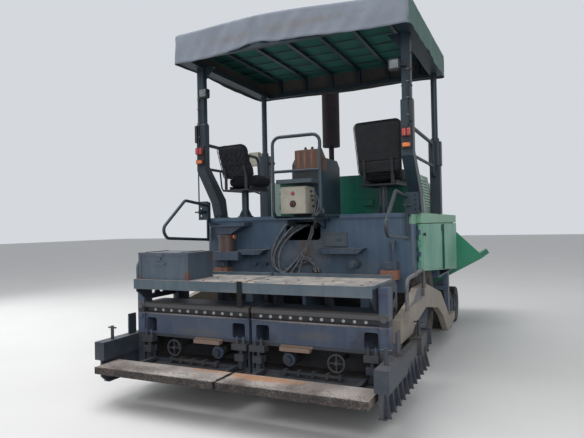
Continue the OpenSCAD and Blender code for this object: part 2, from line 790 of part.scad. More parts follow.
module seat_pads(i) {
  w = pad_w[i] / 2;
  t = back_w[i] / 2;
  h = back_h[i];
  color(vinyl) at_seat(i) {
    translate([0, 0, seat_z]) linear_extrude(120)
      rounded([-w, back_y[i] + 105], [w, pad_y1[i]], 50);
    translate([0, back_y[i], seat_z + back_hold_z]) rotate([90 + back_lean[i], 0, 0]) mirror([0, 0, 1])
      linear_extrude(80) hull() {
        translate([-t + 60, h - back_low[i] - 60]) circle(60);
        translate([t - 60, h - back_low[i] - 60]) circle(60);
        translate([-t + 75, 40 - back_low[i]]) circle(40);
        translate([t - 75, 40 - back_low[i]]) circle(40);
      }
  }
}

// Hopper between the wings
wing_axis_x = hopper_half_w + 30;
wing_axis_z = 610;
wing_y0 = 1610;
wing_y1 = hopper_front_y - 10;
wing_barrel_r = 28;
wing_root = 36;
wing_t = 25;
module hopper_body() {
  color(hull_grey) {
    span([-hopper_half_w, frame_front_y, frame_low_z],
      [hopper_half_w, hopper_front_y, tunnel_z]);
    both_sides() difference() {
      union() {
        span([hopper_half_w - frame_t, frame_front_y, frame_low_z - 80],
          [hopper_half_w, hopper_front_y, 560]);
        for (y = wing_lug_y) {
          span([hopper_half_w - 30, y, 500], [wing_axis_x, y + 60, wing_axis_z]);
          bar_y(wing_barrel_r, y, y + 60, wing_axis_x, wing_axis_z);
        }
      }
      bar_y(15 + fit, wing_y0, hopper_front_y + 1, wing_axis_x, wing_axis_z);
    }
  }
}

wing_lug_y = [1680, 2250, 2850];

// Conveyor slats on their chains, one band in each tunnel
slat_pitch = 220;
module conveyor() {
  y0 = frame_rear_y - 60;
  y1 = hopper_front_y - 60;
  z = tunnel_z + seat;
  color(steel) both_sides() {
    x0 = auger_case_w + 10;
    x1 = tunnel_x1 - clear;
    for (x = [x0 + 20, x1 - 54]) span([x, y0, z], [x + 34, y1, z + 22]);
    for (y = [y0 : slat_pitch : y1 - 40]) span([x0, y, z], [x1, y + 36, z + 30]);
  }
}

// Hopper wing for the right side, opened
module wing() {
  far = [wing_w * cos(wing_slope), wing_w * sin(wing_slope)];
  up = wing_t * [-sin(wing_slope), cos(wing_slope)];
  a = [wing_axis_x, wing_axis_z];
  root = a + wing_root * [cos(wing_slope), sin(wing_slope)];
  color("#2b8f6b") {
    plate_xz([root, a + far, a + far + up, root + up], wing_y0, wing_y1);
    plate_xz([root, a + [540, 310], a + far + [-20, -30], a + far + up, a + [510, 860]],
      wing_y0, wing_y0 + wing_t);
    for (y = [wing_y0, 2050, 2500, wing_y1 - 20])
      plate_xz([root, a + far, a + far - up * 3, a + [80, 0]], y, y + 20);
    for (y = wing_lug_y) {
      bar_y(15, y - 40, y + 100, wing_axis_x, wing_axis_z);
      for (e = [y - 40, y + 60 + seat]) {
        bar_y(wing_barrel_r, e, e + 40 - seat, wing_axis_x, wing_axis_z);
        plate_xz([a, a + [15, -15], a + [90, 40], a + [60, 60]], e, e + 40 - seat);
      }
    }
  }
}

// Beam across the front that carries the push rollers
push_y = 3100;
push_z = 480;
roller_x0 = 110;
beam_y1 = hopper_front_y + 60;
// Lashing eyes at the ends of the beam
eye_x = 790;
eye_t = 24;
eye_r = 22;
eye_y = beam_y1 + 38;
eye_z = 460;
module push_beam() {
  color(hull_grey) {
    span([-850, hopper_front_y, 340], [850, beam_y1, 600]);
    both_sides() difference() {
      span([eye_x, beam_y1, eye_z - 50], [eye_x + eye_t, beam_y1 + 75, eye_z + 50]);
      bar_x(eye_r, eye_x - 1, eye_x + eye_t + 1, eye_y, eye_z);
    }
    both_sides() for (x = [roller_x0 - clear - 24, roller_x0 + push_roller_len + clear])
      difference() {
        span([x, beam_y1, push_z - 50], [x + 24, push_y + 50, push_z + 50]);
        bar_x(20 + fit, x - 1, x + 25, push_y, push_z);
      }
  }
}

module push_roller(side) {
  color(steel) on_side(side) {
    bar_x(push_roller_r, roller_x0, roller_x0 + push_roller_len, push_y, push_z);
    bar_x(20, roller_x0 - clear - 24, roller_x0 + push_roller_len + clear + 24, push_y, push_z);
  }
}

// Front bogies, knuckles and wheels
king_x = frame_half_w + 60;
king_r = 25;
fork_low_z = 175;
fork_top_z = 400;
fork_t = 25;
fork_r = 44;
front_wheel_x0 = king_x + 52;
spindle_r = 40;
function wheel_y(end) = bogie_y + end * bogie_pitch / 2;

module bogies() {
  color(hull_grey) both_sides() {
    y0 = wheel_y(-1);
    y1 = wheel_y(1);
    plate_x0 = king_x - 100;
    plate_yz([[y0 - 40, 220], [bogie_y - 100, 200], [bogie_y + 100, 200], [y1 + 40, 220],
      [y1 + 40, 360], [bogie_y + 100, 379], [bogie_y - 100, 379], [y0 - 40, 360]],
      plate_x0, plate_x0 + 50);
    bar_x(60, hopper_half_w, plate_x0, bogie_y, 330);
    for (y = [y0, y1], z = [fork_low_z - fork_t, fork_top_z])
      difference() {
        union() {
          bar_z(fork_r, z, z + fork_t, king_x, y);
          span([plate_x0, y - 40, z], [king_x, y + 40, z + fork_t]);
        }
        bar_z(king_r + fit, z - 1, z + fork_t + 1, king_x, y);
      }
    for (y = [y0, y1])
      span([plate_x0, y - 40, fork_low_z - fork_t], [plate_x0 + 40, y + 40, fork_top_z + fork_t]);
  }
}

module knuckle(side, end) {
  y = wheel_y(end);
  color(steel) on_side(side) {
    bar_z(king_r, fork_low_z - fork_t, fork_top_z + fork_t, king_x, y);
    bar_z(40, fork_low_z + seat, fork_top_z - seat, king_x, y);
    bar_x(spindle_r, king_x, front_wheel_x0 + 240, y, front_wheel_r);
    bar_x(70, king_x + 38, front_wheel_x0 - seat, y, front_wheel_r);
  }
}

module front_wheel(side, end) {
  w = front_wheel_w;
  r = front_wheel_r;
  profile = [[spindle_r + fit, 0], [95, 0], [95, 110], [175, 110], [175, 10], [200, 0],
    [r - 12, 0], [r, 14], [r, w - 14], [r - 12, w], [200, w], [180, w - 10],
    [180, 150], [95, 150], [95, 245], [spindle_r + fit, 245]];
  color(rubber) on_side(side)
    translate([front_wheel_x0, wheel_y(end), r]) rotate([0, 90, 0])
      rotate_extrude($fn = 64) polygon(profile);
}

// Rear axle ends and driven wheels
hub_r = 200;
rear_spindle_r = 80;
module rear_axle() {
  color(steel) both_sides() {
    bar_x(230, frame_half_w, frame_half_w + 14, rear_axle_y, rear_wheel_r);
    bar_x(hub_r, frame_half_w + 14, rear_wheel_x + 20, rear_axle_y, rear_wheel_r);
    bar_x(rear_spindle_r, rear_wheel_x + 20, rear_wheel_x + 120, rear_axle_y, rear_wheel_r);
  }
}

module rear_wheel(side) {
  r = rear_wheel_r;
  w = rear_wheel_w / 2;
  b = rear_spindle_r + fit;
  profile = [[b, 30], [150, 30], [150, 50], [290, 50], [290, -w + 60], [320, -w + 20],
    [480, -w], [r - 60, -w + 10], [r - 12, -w + 50], [r, -w + 110], [r, w - 110],
    [r - 12, w - 50], [r - 60, w - 10], [480, w], [320, w - 20], [300, w - 60],
    [300, 75], [150, 75], [130, 125], [b, 125]];
  color(rubber) on_side(side)
    translate([rear_wheel_x, rear_axle_y, r]) rotate([0, 90, 0])
      rotate_extrude($fn = 72) polygon(profile);
}

// Augers in front of the screed
auger_shaft_r = 45;
auger_x0 = auger_case_w + clear;
auger_x1 = arm_x0 - 72;
auger_turns = 4;
flight_t = 14;
flight_steps = 16;
flight_x0 = auger_x0 + flight_t;
flight_x1 = auger_x1 - flight_t;
// Helical flight: a section of [radius, half thickness] corners, turned round the shaft
flight_section = [[auger_shaft_r - 5, -0.5], [auger_shaft_r - 5, 0.5], [auger_r, 0.5], [auger_r, -0.5]];
module flight() {
  n = auger_turns * flight_steps;
  translate([flight_x0, auger_y, auger_z])
    swept([for (i = [0 : n], q = flight_section)
      let (f = 360 * i / flight_steps, x = (flight_x1 - flight_x0) * i / n)
      [x + q.y * flight_t, q.x * cos(f), q.x * sin(f)]], 4);
}

module auger(side) {
  color(steel) on_side(side) {
    bar_x(auger_pin_r, auger_case_w - 50, auger_x0, auger_y, auger_z);
    bar_x(auger_shaft_r, auger_x0, auger_x1, auger_y, auger_z);
    flight();
  }
}

// Arms that tow the screed past the rear wheels
arm_tip_r = 55;
screed_back_y = -2190;
module tow_arms() {
  rail_x = arm_x1 + 18;
  color(dust) both_sides() {
    union() {
      plate_yz([[screed_back_y, 560], [screed_back_y, 760], [-1640, 860], [-1420, 950],
        [-980, 950], [-40, 745], [330, 520], [600, 345], [tow_y, tow_z + arm_tip_r],
        [tow_y, tow_z - arm_tip_r], [560, 150], [420, 190], [100, 430], [-280, 590],
        [-1020, 705], [-1590, 617], [-1700, 560]], arm_x0, arm_x1);
      bar_x(arm_tip_r, arm_x0, arm_x1, tow_y, tow_z);
      bar_x(tow_pin_r, guide_x0, arm_x0, tow_y, tow_z);
    }
    plate_yz([[-2050, 730], [-1950, 750], [-1950, 812], [-2050, 800]], arm_x1 - 1, rail_x + 22);
    tube([[rail_x, -2000, 790], [rail_x, -2000, 1095], [rail_x, -1215, 1130], [rail_x, -1205, 900]],
      18, 90, [1, 0, 0]);
    plate_yz([[-1240, 850], [-1170, 850], [-1170, 925], [-1240, 925]], arm_x1 - 1, rail_x + 12);
  }
}

// Main screed, in two halves
screed_split = 12;
bracket_x = [30, screed_half_w / 2 - 32, screed_half_w - 95];
// Rails that the extensions slide along
slide_rail_z = [250, 640];
module main_screed() {
  z = screed_z;
  color(screed_grey) {
    both_sides() {
      plate_yz([[screed_front_y, z + 60], [screed_front_y - 60, z], [screed_back_y, z],
        [screed_back_y, 620], [screed_back_y + 60, 700], [screed_front_y, 700]],
        screed_split, screed_half_w);
      span([screed_half_w, screed_back_y, 560], [arm_x0, screed_front_y - 40, 700]);
      for (z = slide_rail_z)
        span([screed_split, ext_front_y + seat, z], [screed_half_w, screed_back_y, z + 40]);
    }
    span([-screed_split, -2100, 300], [screed_split, -1980, 650]);
  }
}

// Brackets that reach up and back over the extensions to carry the deck
deck_front_y = -2110;
// Lightening holes of the deck's side plates, as [y, z, radius]
side_holes = [[-2500, 995, 42], [-2370, 995, 42], [-2240, 995, 42], [-2020, 940, 50], [-2020, 800, 50]];
module deck_brackets() {
  under = deck_z - deck_t;
  end_y = deck_rear_y + 20;
  side_x = screed_half_w - 30;
  color(screed_grey) both_sides() {
    for (x = bracket_x)
      plate_yz([[deck_front_y + 160, 700], [deck_front_y, under - 65], [deck_front_y, under],
        [end_y, under], [end_y, under - 24], [deck_front_y - 70, under - 84],
        [deck_front_y - 70, 700]], x, x + 40);
    difference() {
      plate_yz([[end_y, under], [end_y, under - 90], [-2600, 905], [-2150, 905], [-2128, 700],
        [-1905, 700], [-1905, under - 60], [-1960, under]], side_x, side_x + 14);
      for (q = side_holes) bar_x(q[2], side_x - 1, side_x + 15, q[0], q[1]);
    }
    span([bracket_x[2] + 39, -2250, under - 40], [side_x + 1, -2150, under - 20]);
  }
}

// Deck plates over the extensions
deck_t = 26;
fascia_h = 90;
module screed_deck() {
  w = screed_half_w - 5;
  rail_x = screed_half_w - 20;
  color(dust) {
    both_sides() {
      span([screed_split, deck_rear_y, deck_z - deck_t], [w, deck_front_y, deck_z]);
      span([screed_split, deck_rear_y, deck_z - fascia_h], [w, deck_rear_y + 15, deck_z - deck_t]);
      span([screed_split, deck_front_y - 12, deck_z], [w, deck_front_y, deck_z + 30]);
      for (x = [screed_split, w - 40])
        span([x, deck_rear_y, deck_z - deck_t], [x + 40, deck_rear_y + 60, deck_z + 4]);
    }
    tube([[-rail_x, deck_rear_y + 40, deck_z - 5], [-rail_x, deck_rear_y + 40, deck_z + 180],
      [-rail_x, deck_front_y - 60, deck_z + 180], [-rail_x, deck_front_y - 60, deck_z - 5]],
      13, 70, [1, 0, 0], 10, 4);
  }
}

// Toolbox on the left half of the deck
box_x0 = 55 - screed_half_w;
box_x1 = box_x0 + 570;
box_y0 = -2730;
box_y1 = -2330;
box_z1 = 1352;
box_t = 8;
module toolbox() {
  color(screed_grey) {
    for (x = [box_x0 - 4, box_x1 - 26]) span([x, box_y0 - 4, deck_z], [x + 30, box_y0 + 1, box_z1]);
    span([box_x0 - 4, box_y0 - 4, deck_z + 1], [box_x0 + 1, box_y0 + 26, box_z1 - 1]);
    span([box_x1 - 1, box_y0 - 4, deck_z], [box_x1 + 4, box_y0 + 26, box_z1]);
    span([box_x1 - 1, box_y1 - 26, deck_z], [box_x1 + 4, box_y1, box_z1]);
    span([box_x0, box_y0 - 3, box_z1 - 14], [box_x1, box_y0 + 1, box_z1]);
    for (x = [-930, -820]) span([x, box_y0 - 30, 1262], [x + 10, box_y0 + 1, 1272]);
    span([-930, box_y0 - 30, 1262], [-810, box_y0 - 22, 1272]);
    bar_y(14, box_y0 - 14, box_y0 + 1, -880, box_z1 - 36);
    difference() {
      span([box_x0, box_y0, deck_z], [box_x1, box_y1, box_z1]);
      span([box_x0 + box_t, box_y0 + box_t, deck_z + box_t],
        [box_x1 - box_t, box_y1 - box_t, box_z1 + 1]);
    }
    for (x = [box_x0 + 100, box_x1 - 160]) difference() {
      union() {
        bar_x(10, x, x + 60, box_y1 + 12, box_z1 + 2);
        span([x, box_y1, box_z1 - 30], [x + 60, box_y1 + 14, box_z1 - 4]);
      }
      bar_x(5 + fit, x - 1, x + 61, box_y1 + 12, box_z1 + 2);
    }
  }
}

module toolbox_lid() {
  z = box_z1 + seat;
  color(screed_grey) {
    span([box_x0 - 6, box_y0 - 6, z], [box_x1 + 6, box_y1, z + 20]);
    for (x = [box_x0 + 100, box_x1 - 160]) {
      bar_x(5, x - 20, x + 80, box_y1 + 12, box_z1 + 2);
      for (e = [x - 20, x + 60 + seat]) {
        bar_x(10, e, e + 20 - seat, box_y1 + 12, box_z1 + 2);
        span([e, box_y1, z], [e + 20 - seat, box_y1 + 12, z + 12]);
      }
    }
    span([-915, box_y0 - 12, z - 20], [-845, box_y0 - 6, z + 20]);
    for (x = [box_x0 + 60, box_x1 - 90]) span([x, box_y0 + 20, z + 19], [x + 30, box_y1 - 60, z + 26]);
  }
}

// Extension behind the main screed, for the right side
ext_x0 = 14;
ext_x1 = screed_half_w + 3;
ext_front_y = screed_back_y - 20;
ext_rear_y = -2580;
ext_back_y = -2330;
ext_low_z = 330;
ext_lip_z = 550;
ext_top_z = 880;
cheek_t = 16;
post_x1 = ext_x1 + 80;
// Windows through the rear wall, and the clamp blocks below it, as [left end, right end]
window_span = [[ext_x0 + 43, ext_x0 + 175], [ext_x1 - 135, ext_x1 - 12]];
window_z = [592, 727];
clamp_span = [[ext_x0, ext_x0 + 154], [ext_x1 - 123, ext_x1]];
hinge_x = [ext_x0 + 106, ext_x1 - 148];
hinge_y = -2862;
hinge_z = 338;
// Cross section of an extension: heated box, cavity, rear wall with its bolt strip, and top
ext_section = [[ext_front_y, screed_z], [ext_rear_y + 30, screed_z], [ext_rear_y, screed_z + 30],
  [ext_rear_y, ext_low_z], [ext_back_y, ext_low_z], [ext_back_y, ext_top_z - 20],
  [ext_rear_y + 40, ext_top_z - 20], [ext_rear_y + 20, 760], [ext_rear_y + 20, ext_lip_z],
  [ext_rear_y, ext_lip_z], [ext_rear_y, 764], [ext_rear_y - 12, 768], [ext_rear_y - 12, 780],
  [ext_rear_y + 12, 784], [ext_rear_y + 12, 826], [ext_rear_y - 10, 830],
  [ext_rear_y - 10, 866], [ext_rear_y + 8, ext_top_z], [ext_back_y + 30, ext_top_z],
  [ext_front_y, 800]];

module extension(side) {
  er = ext_rear_y;
  color(screed_grey) on_side(side) {
    difference() {
      plate_yz(ext_section, ext_x0, ext_x1);
      for (w = window_span)
        rounded_xz([w[0], window_z[0]], [w[1], window_z[1]], 24, er - 1, er + 21);
    }
    for (x = [ext_x0, ext_x1 - cheek_t])
      plate_yz([[ext_front_y, screed_z + 1], [er + 29, screed_z + 1], [er + 1, screed_z + 31],
        [er + 1, ext_top_z - 15], [ext_back_y + 30, ext_top_z - 1], [ext_front_y, 799]], x, x + cheek_t);
    span([ext_x1, er - 20, 300], [post_x1, er + 100, 1090]);
    span([ext_x1, er - 20, screed_z], [post_x1, ext_front_y, 560]);
    span([ext_x1, er - 28, 1040], [post_x1, er - 19, 1090]);
    for (z = [745, 837]) bar_y(25, er - 34, er - 19, (ext_x1 + post_x1) / 2, z);
    for (c = clamp_span) clamp(c[0], c[1]);
    crank();
    ledge();
    for (x = hinge_x) difference() {
      union() {
        span([x, hinge_y, hinge_z - 14], [x + 40, er, hinge_z + 14]);
        bar_x(14, x, x + 40, hinge_y, hinge_z);
      }
      bar_x(8 + fit, x - 1, x + 41, hinge_y, hinge_z);
    }
  }
}

// Clamp block under the rear wall, with its two bolts, stem and foot
module clamp(x0, x1) {
  y = ext_rear_y - 30;
  mid = (x0 + x1) / 2;
  span([x0, ext_rear_y - 60, 498], [x1, ext_rear_y + 18, ext_lip_z + 3]);
  for (x = [mid - 32, mid + 32]) {
    bar_z(11, ext_lip_z, 615, x, y);
    bar_z(20, ext_lip_z + 2, 572, x, y);
  }
  bar_z(18, 455, 500, mid, y + 10);
  span([mid - 45, ext_rear_y - 60, 400], [mid + 45, ext_rear_y + 30, 460]);
  span([mid - 20, ext_rear_y - 40, 329], [mid + 20, ext_rear_y + 60, 401]);
}

// Handwheel with its shaft, the drive beside it, and the plate and bar between the clamps
wheel_x = 822;
wheel_z = 458;
wheel_r = 78;
module crank() {
  y = ext_rear_y - 30;
  difference() {
    bar_y(wheel_r, y - 7, y + 7, wheel_x, wheel_z);
    bar_y(wheel_r - 13, y - 8, y + 8, wheel_x, wheel_z);
  }
  span([wheel_x - wheel_r + 5, y - 3, wheel_z - 5], [wheel_x + wheel_r - 5, y + 3, wheel_z + 5]);
  span([wheel_x - 5, y - 3, wheel_z - wheel_r + 5], [wheel_x + 5, y + 3, wheel_z + wheel_r - 5]);
  bar_y(17, y - 10, ext_back_y + 1, wheel_x, wheel_z);
  bar_y(58, ext_rear_y + 20, ext_back_y + 1, 366, 438);
  bar_y(34, ext_rear_y - 20, ext_rear_y + 21, 366, 438);
  span([300, ext_rear_y + 60, 430], [420, ext_back_y + 1, 490]);
  span([307, ext_rear_y - 45, 523], [589, ext_rear_y + 10, ext_lip_z + 8]);
  for (x = [340, 470, 600, 730, 840])
    span([x, ext_rear_y - 50, ext_low_z - 8], [x + 26, ext_rear_y + 10, 366]);
  span([333, ext_rear_y - 46, 340], [881, ext_rear_y - 32, 358]);
}

// Ledge that the walkway's front edge meets
ledge_y = -2838;
module ledge() {
  span([ext_x0 + 46, ledge_y, 290], [ext_x1 - 8, ledge_y + 48, 345]);
  span([ext_x0 + 46, ledge_y + 40, 290], [ext_x1 - 8, ext_rear_y + 1, 310]);
}

// End gate along the side of the extension
gate_x0 = post_x1;
gate_x1 = gate_x0 + 112;
ski_x = gate_x0 + 30;
ski_t = 20;
gate_z = 565;
module end_gate(side) {
  color("#3f434d") on_side(side) {
    span([gate_x0, -3060, 400], [gate_x1, -2480, gate_z]);
    span([gate_x0 + 20, -2481, 430], [gate_x1 - 30, -1400, 540]);
    for (y = [-2480, -1900, -1420]) span([gate_x0, y, 405], [gate_x1, y + 20, gate_z - 3]);
    plate_yz([[-3055, 250], [-2990, 190], [-1490, 190], [-1410, 240], [-1390, 300], [-1480, 440],
      [-3055, 440]], ski_x, ski_x + ski_t);
    span([ski_x - 20, -2990, 190], [ski_x + ski_t + 20, -1490, 202]);
    for (y = [-2950 : 150 : -1450])
      plate_xz([[ski_x + ski_t - 1, 191], [ski_x + 68, 191], [ski_x + ski_t - 1, 400]], y, y + 12);
    span([gate_x0 + 62, -2660, gate_z - 1], [gate_x0 + 77, -2560, 760]);
    for (y = [-2900, -1700]) {
      bar_z(15, 530, 690, gate_x0 + 50, y);
      bar_x(8, gate_x0 + 5, gate_x0 + 95, y, 672);
    }
  }
}

// Folded-down walkway behind the extension
walkway_z = 375;
walkway_t = 60;
walkway_rim = 14;
walkway_bays = 5;
module walkway(side) {
  y0 = walkway_rear_y;
  y1 = hinge_y - 20;
  x1 = gate_x0 - clear;
  low = walkway_z - walkway_t;
  color(rust) on_side(side) {
    difference() {
      span([10, y0, low], [x1, y1, walkway_z]);
      for (i = [0 : walkway_bays - 1]) {
        x = 10 + walkway_rim + i * (x1 - 10 - walkway_rim) / walkway_bays;
        span([x, y0 + walkway_rim, low - 1],
          [x + (x1 - 10 - walkway_rim) / walkway_bays - walkway_rim, y1 - walkway_rim, walkway_z - 10]);
      }
    }
    for (x = hinge_x) {
      bar_x(8, x - 24, x + 64, hinge_y, hinge_z);
      for (e = [x - 24, x + 40 + seat])
        span([e, y1, hinge_z - 12], [e + 24 - seat, hinge_y + 12, hinge_z + 12]);
    }
  }
}

main_frame();
upper_body();
engine();
hood();
hood_lid();
exhaust();
canopy_posts();
canopy_frame();
canopy_cover();
lamps();
console();
switch_box();
handrails();
wall_fittings();
hoses();
seat_pedestals();
seat_frame(0);  // seat_frame_left
seat_frame(1);  // seat_frame_right
seat_pads(0);  // seat_pads_left
seat_pads(1);  // seat_pads_right
door_rear(LEFT);  // door_rear_left
door_rear(RIGHT);  // door_rear_right
door_front(LEFT);  // door_front_left
door_front(RIGHT);  // door_front_right
hopper_body();
conveyor();
on_side(LEFT) wing();  // wing_left
on_side(RIGHT) wing();  // wing_right
push_beam();
push_roller(LEFT);  // push_roller_left
push_roller(RIGHT);  // push_roller_right
bogies();
knuckle(LEFT, -1);  // knuckle_left_rear
knuckle(LEFT, 1);  // knuckle_left_front
knuckle(RIGHT, -1);  // knuckle_right_rear
knuckle(RIGHT, 1);  // knuckle_right_front
front_wheel(LEFT, -1);  // front_wheel_left_rear
front_wheel(LEFT, 1);  // front_wheel_left_front
front_wheel(RIGHT, -1);  // front_wheel_right_rear
front_wheel(RIGHT, 1);  // front_wheel_right_front
rear_axle();
rear_wheel(LEFT);  // rear_wheel_left
rear_wheel(RIGHT);  // rear_wheel_right
auger(LEFT);  // auger_left
auger(RIGHT);  // auger_right
tow_arms();
main_screed();
deck_brackets();
screed_deck();
toolbox();
toolbox_lid();
extension(LEFT);  // extension_left
extension(RIGHT);  // extension_right
end_gate(LEFT);  // end_gate_left
end_gate(RIGHT);  // end_gate_right
walkway(LEFT);  // walkway_left
walkway(RIGHT);  // walkway_right
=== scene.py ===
"""Wheeled asphalt paver: finishes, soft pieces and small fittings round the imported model, in metres."""
import math

import bmesh
import bpy
import numpy as np
from mathutils import Matrix, Vector


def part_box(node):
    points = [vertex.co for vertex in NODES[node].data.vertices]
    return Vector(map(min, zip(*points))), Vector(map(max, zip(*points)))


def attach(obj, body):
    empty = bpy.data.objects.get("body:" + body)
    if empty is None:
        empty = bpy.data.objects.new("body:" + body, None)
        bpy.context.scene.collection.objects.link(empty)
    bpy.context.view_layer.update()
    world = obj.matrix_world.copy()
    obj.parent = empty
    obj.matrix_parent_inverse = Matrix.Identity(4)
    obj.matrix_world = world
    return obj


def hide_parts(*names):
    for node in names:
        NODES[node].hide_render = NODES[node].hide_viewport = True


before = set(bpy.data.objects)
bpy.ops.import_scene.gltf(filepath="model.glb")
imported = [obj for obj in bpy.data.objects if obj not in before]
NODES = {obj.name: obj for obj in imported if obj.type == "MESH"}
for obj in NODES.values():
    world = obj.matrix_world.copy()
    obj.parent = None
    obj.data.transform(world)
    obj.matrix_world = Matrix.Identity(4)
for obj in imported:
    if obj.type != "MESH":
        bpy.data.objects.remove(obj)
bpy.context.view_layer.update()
SIDES = (("left", -1), ("right", 1))


# ---------------------------------------------------------------- camera and stage
def aim_camera():
    """The photograph's camera, fitted to its edges: place, yaw, pitch, roll and lens."""
    place, yaw, pitch, roll, focal_px, width_px = (2.3213, -6.6354, 1.6), 0.4358, 0.0131, -0.0204, 518.43, 584
    level = Vector((-math.sin(yaw), math.cos(yaw), 0))
    side = Vector((math.cos(yaw), math.sin(yaw), 0))
    up = Vector((0, 0, 1))
    ahead = level * math.cos(pitch) + up * math.sin(pitch)
    upright = up * math.cos(pitch) - level * math.sin(pitch)
    right = side * math.cos(roll) + upright * math.sin(roll)
    top = upright * math.cos(roll) - side * math.sin(roll)
    data = bpy.data.cameras.new("camera")
    data.sensor_width = 36
    data.lens = focal_px * data.sensor_width / width_px
    data.clip_end = 200
    camera = bpy.data.objects.new("camera", data)
    bpy.context.scene.collection.objects.link(camera)
    camera.matrix_world = Matrix.Translation(place) @ Matrix((right, top, -ahead)).transposed().to_4x4()
    bpy.context.scene.camera = camera


def linear(code):
    """An sRGB hex colour as linear RGBA."""
    parts = [int(code[i:i + 2], 16) / 255 for i in (1, 3, 5)]
    return (*[c / 12.92 if c <= 0.04045 else ((c + 0.055) / 1.055) ** 2.4 for c in parts], 1.0)


def add(tree, kind, settings=(), links=()):
    """Adds a node. Settings are its properties, or its inputs by name or number, each as a value or a socket. Links
    are inputs given a socket."""
    node = tree.nodes.new(kind)
    values = {**dict(settings), **dict(links)}
    for key in [k for k in values if isinstance(k, str) and hasattr(node, k)]:
        setattr(node, key, values.pop(key))
    for key, value in values.items():
        if isinstance(value, bpy.types.NodeSocket):
            tree.links.new(value, node.inputs[key])
        else:
            node.inputs[key].default_value = linear(value) if isinstance(value, str) else value
    return node


def noise(tree, spot, scale, detail, roughness=0.5):
    """Fractal noise over a place."""
    return add(tree, "ShaderNodeTexNoise", {"Scale": scale, "Detail": detail, "Roughness": roughness,
                                            "Vector": spot}).outputs["Fac"]


def maths(tree, operation, *values, clamp=False):
    """A sum of numbers or sockets."""
    return add(tree, "ShaderNodeMath", {"operation": operation, "use_clamp": clamp,
                                        **dict(enumerate(values))}).outputs[0]


def vectors(tree, operation, *values):
    """A sum of vectors, whose result is a length, a dot product or a vector."""
    result = "Value" if operation in ("LENGTH", "DOT_PRODUCT") else "Vector"
    return add(tree, "ShaderNodeVectorMath", {"operation": operation, **dict(enumerate(values))}).outputs[result]


def ranged(tree, value, low, high, top=1.0, bottom=0.0):
    """A value from low to high, brought to bottom to top."""
    return add(tree, "ShaderNodeMapRange", {"From Min": low, "From Max": high, "To Min": bottom, "To Max": top,
                                            "Value": value}).outputs[0]


def mix(tree, share, below, above):
    """A colour between two."""
    return add(tree, "ShaderNodeMix", {"data_type": "RGBA", 0: share, 6: below, 7: above}).outputs[2]


def split(tree, vector):
    """The X, Y and Z of a vector."""
    return add(tree, "ShaderNodeSeparateXYZ", {0: vector}).outputs


def surfaced(tree, shader, colour, roughness, height, strength, depth, metallic=0.0, coat=0.0):
    """Ends a finish: its colour, its gloss, and its bump, whose depth is in metres."""
    bump = add(tree, "ShaderNodeBump", {"Strength": strength, "Distance": depth, "Height": height})
    tree.links.new(colour, shader.inputs["Base Color"])
    if isinstance(roughness, float):
        shader.inputs["Roughness"].default_value = roughness
    else:
        tree.links.new(roughness, shader.inputs["Roughness"])
    shader.inputs["Metallic"].default_value = metallic
    shader.inputs["Coat Weight"].default_value = coat
    tree.links.new(bump.outputs[0], shader.inputs["Normal"])


def material(name):
    """An empty material and its tree, with the principled shader and the object's own coordinates."""
    made = bpy.data.materials.new(name)
    made.use_nodes = True
    tree = made.node_tree
    tree.nodes.clear()
    shader = add(tree, "ShaderNodeBsdfPrincipled")
    add(tree, "ShaderNodeOutputMaterial", links={"Surface": shader.outputs[0]})
    return made, tree, shader, add(tree, "ShaderNodeTexCoord")


def set_stage():
    """A pale floor that keeps the object's shadow, a pale sky for the camera, and soft light from above and from
    behind the camera."""
    made, tree, shader, where = material("pale floor")
    shader.inputs["Roughness"].default_value = 0.9
    specks = noise(tree, where.outputs["Object"], 0.8, 4.0)
    tree.links.new(mix(tree, specks, "#c9c8c6", "#d3d2d0"), shader.inputs["Base Color"])
    bpy.ops.mesh.primitive_plane_add(size=120, location=(0, 0, 0))
    floor = bpy.context.object
    floor.name = "floor"
    floor.data.materials.append(made)

    world = bpy.data.worlds.new("sky")
    bpy.context.scene.world = world
    world.use_nodes = True
    tree = world.node_tree
    tree.nodes.clear()
    seen = add(tree, "ShaderNodeLightPath")
    either = maths(tree, "MAXIMUM", seen.outputs["Is Camera Ray"], seen.outputs["Is Glossy Ray"])
    any_of = maths(tree, "MAXIMUM", either, seen.outputs["Is Transmission Ray"])
    light = add(tree, "ShaderNodeBackground", {"Color": "#eef2f8", "Strength": 0.62})
    shown = add(tree, "ShaderNodeBackground", {"Color": "#dfe3e8", "Strength": 0.9})
    mixed = add(tree, "ShaderNodeMixShader", links={0: any_of, 1: light.outputs[0], 2: shown.outputs[0]})
    add(tree, "ShaderNodeOutputWorld", links={"Surface": mixed.outputs[0]})

    for name, place, size, watts in (("sky panel", (-2, -3, 9), 8, 700), ("fill panel", (5, -9, 4), 5, 260),
                                     ("side panel", (-8, -1, 4), 5, 180)):
        data = bpy.data.lights.new(name, "AREA")
        data.size, data.energy = size, watts
        lamp = bpy.data.objects.new(name, data)
        bpy.context.scene.collection.objects.link(lamp)
        lamp.matrix_world = Matrix.Translation(place) @ (-Vector(place)).to_track_quat("-Z", "Y").to_matrix().to_4x4()
    bpy.context.scene.view_settings.view_transform = "Standard"


aim_camera()
set_stage()


# ---------------------------------------------------------------- finishes
def inside_box(tree, spot, low, high):
    """1 inside a box of the object's own coordinates, where a fitting of another colour sits in the same node."""
    middle = [(a + b) / 2 for a, b in zip(low, high)]
    half = [(b - a) / 2 for a, b in zip(low, high)]
    mirrored = vectors(tree, "ABSOLUTE", vectors(tree, "SUBTRACT", spot, middle))
    parts = split(tree, vectors(tree, "DIVIDE", mirrored, half))
    most = maths(tree, "MAXIMUM", maths(tree, "MAXIMUM", parts[0], parts[1]), parts[2])
    return maths(tree, "LESS_THAN", most, 1.0)


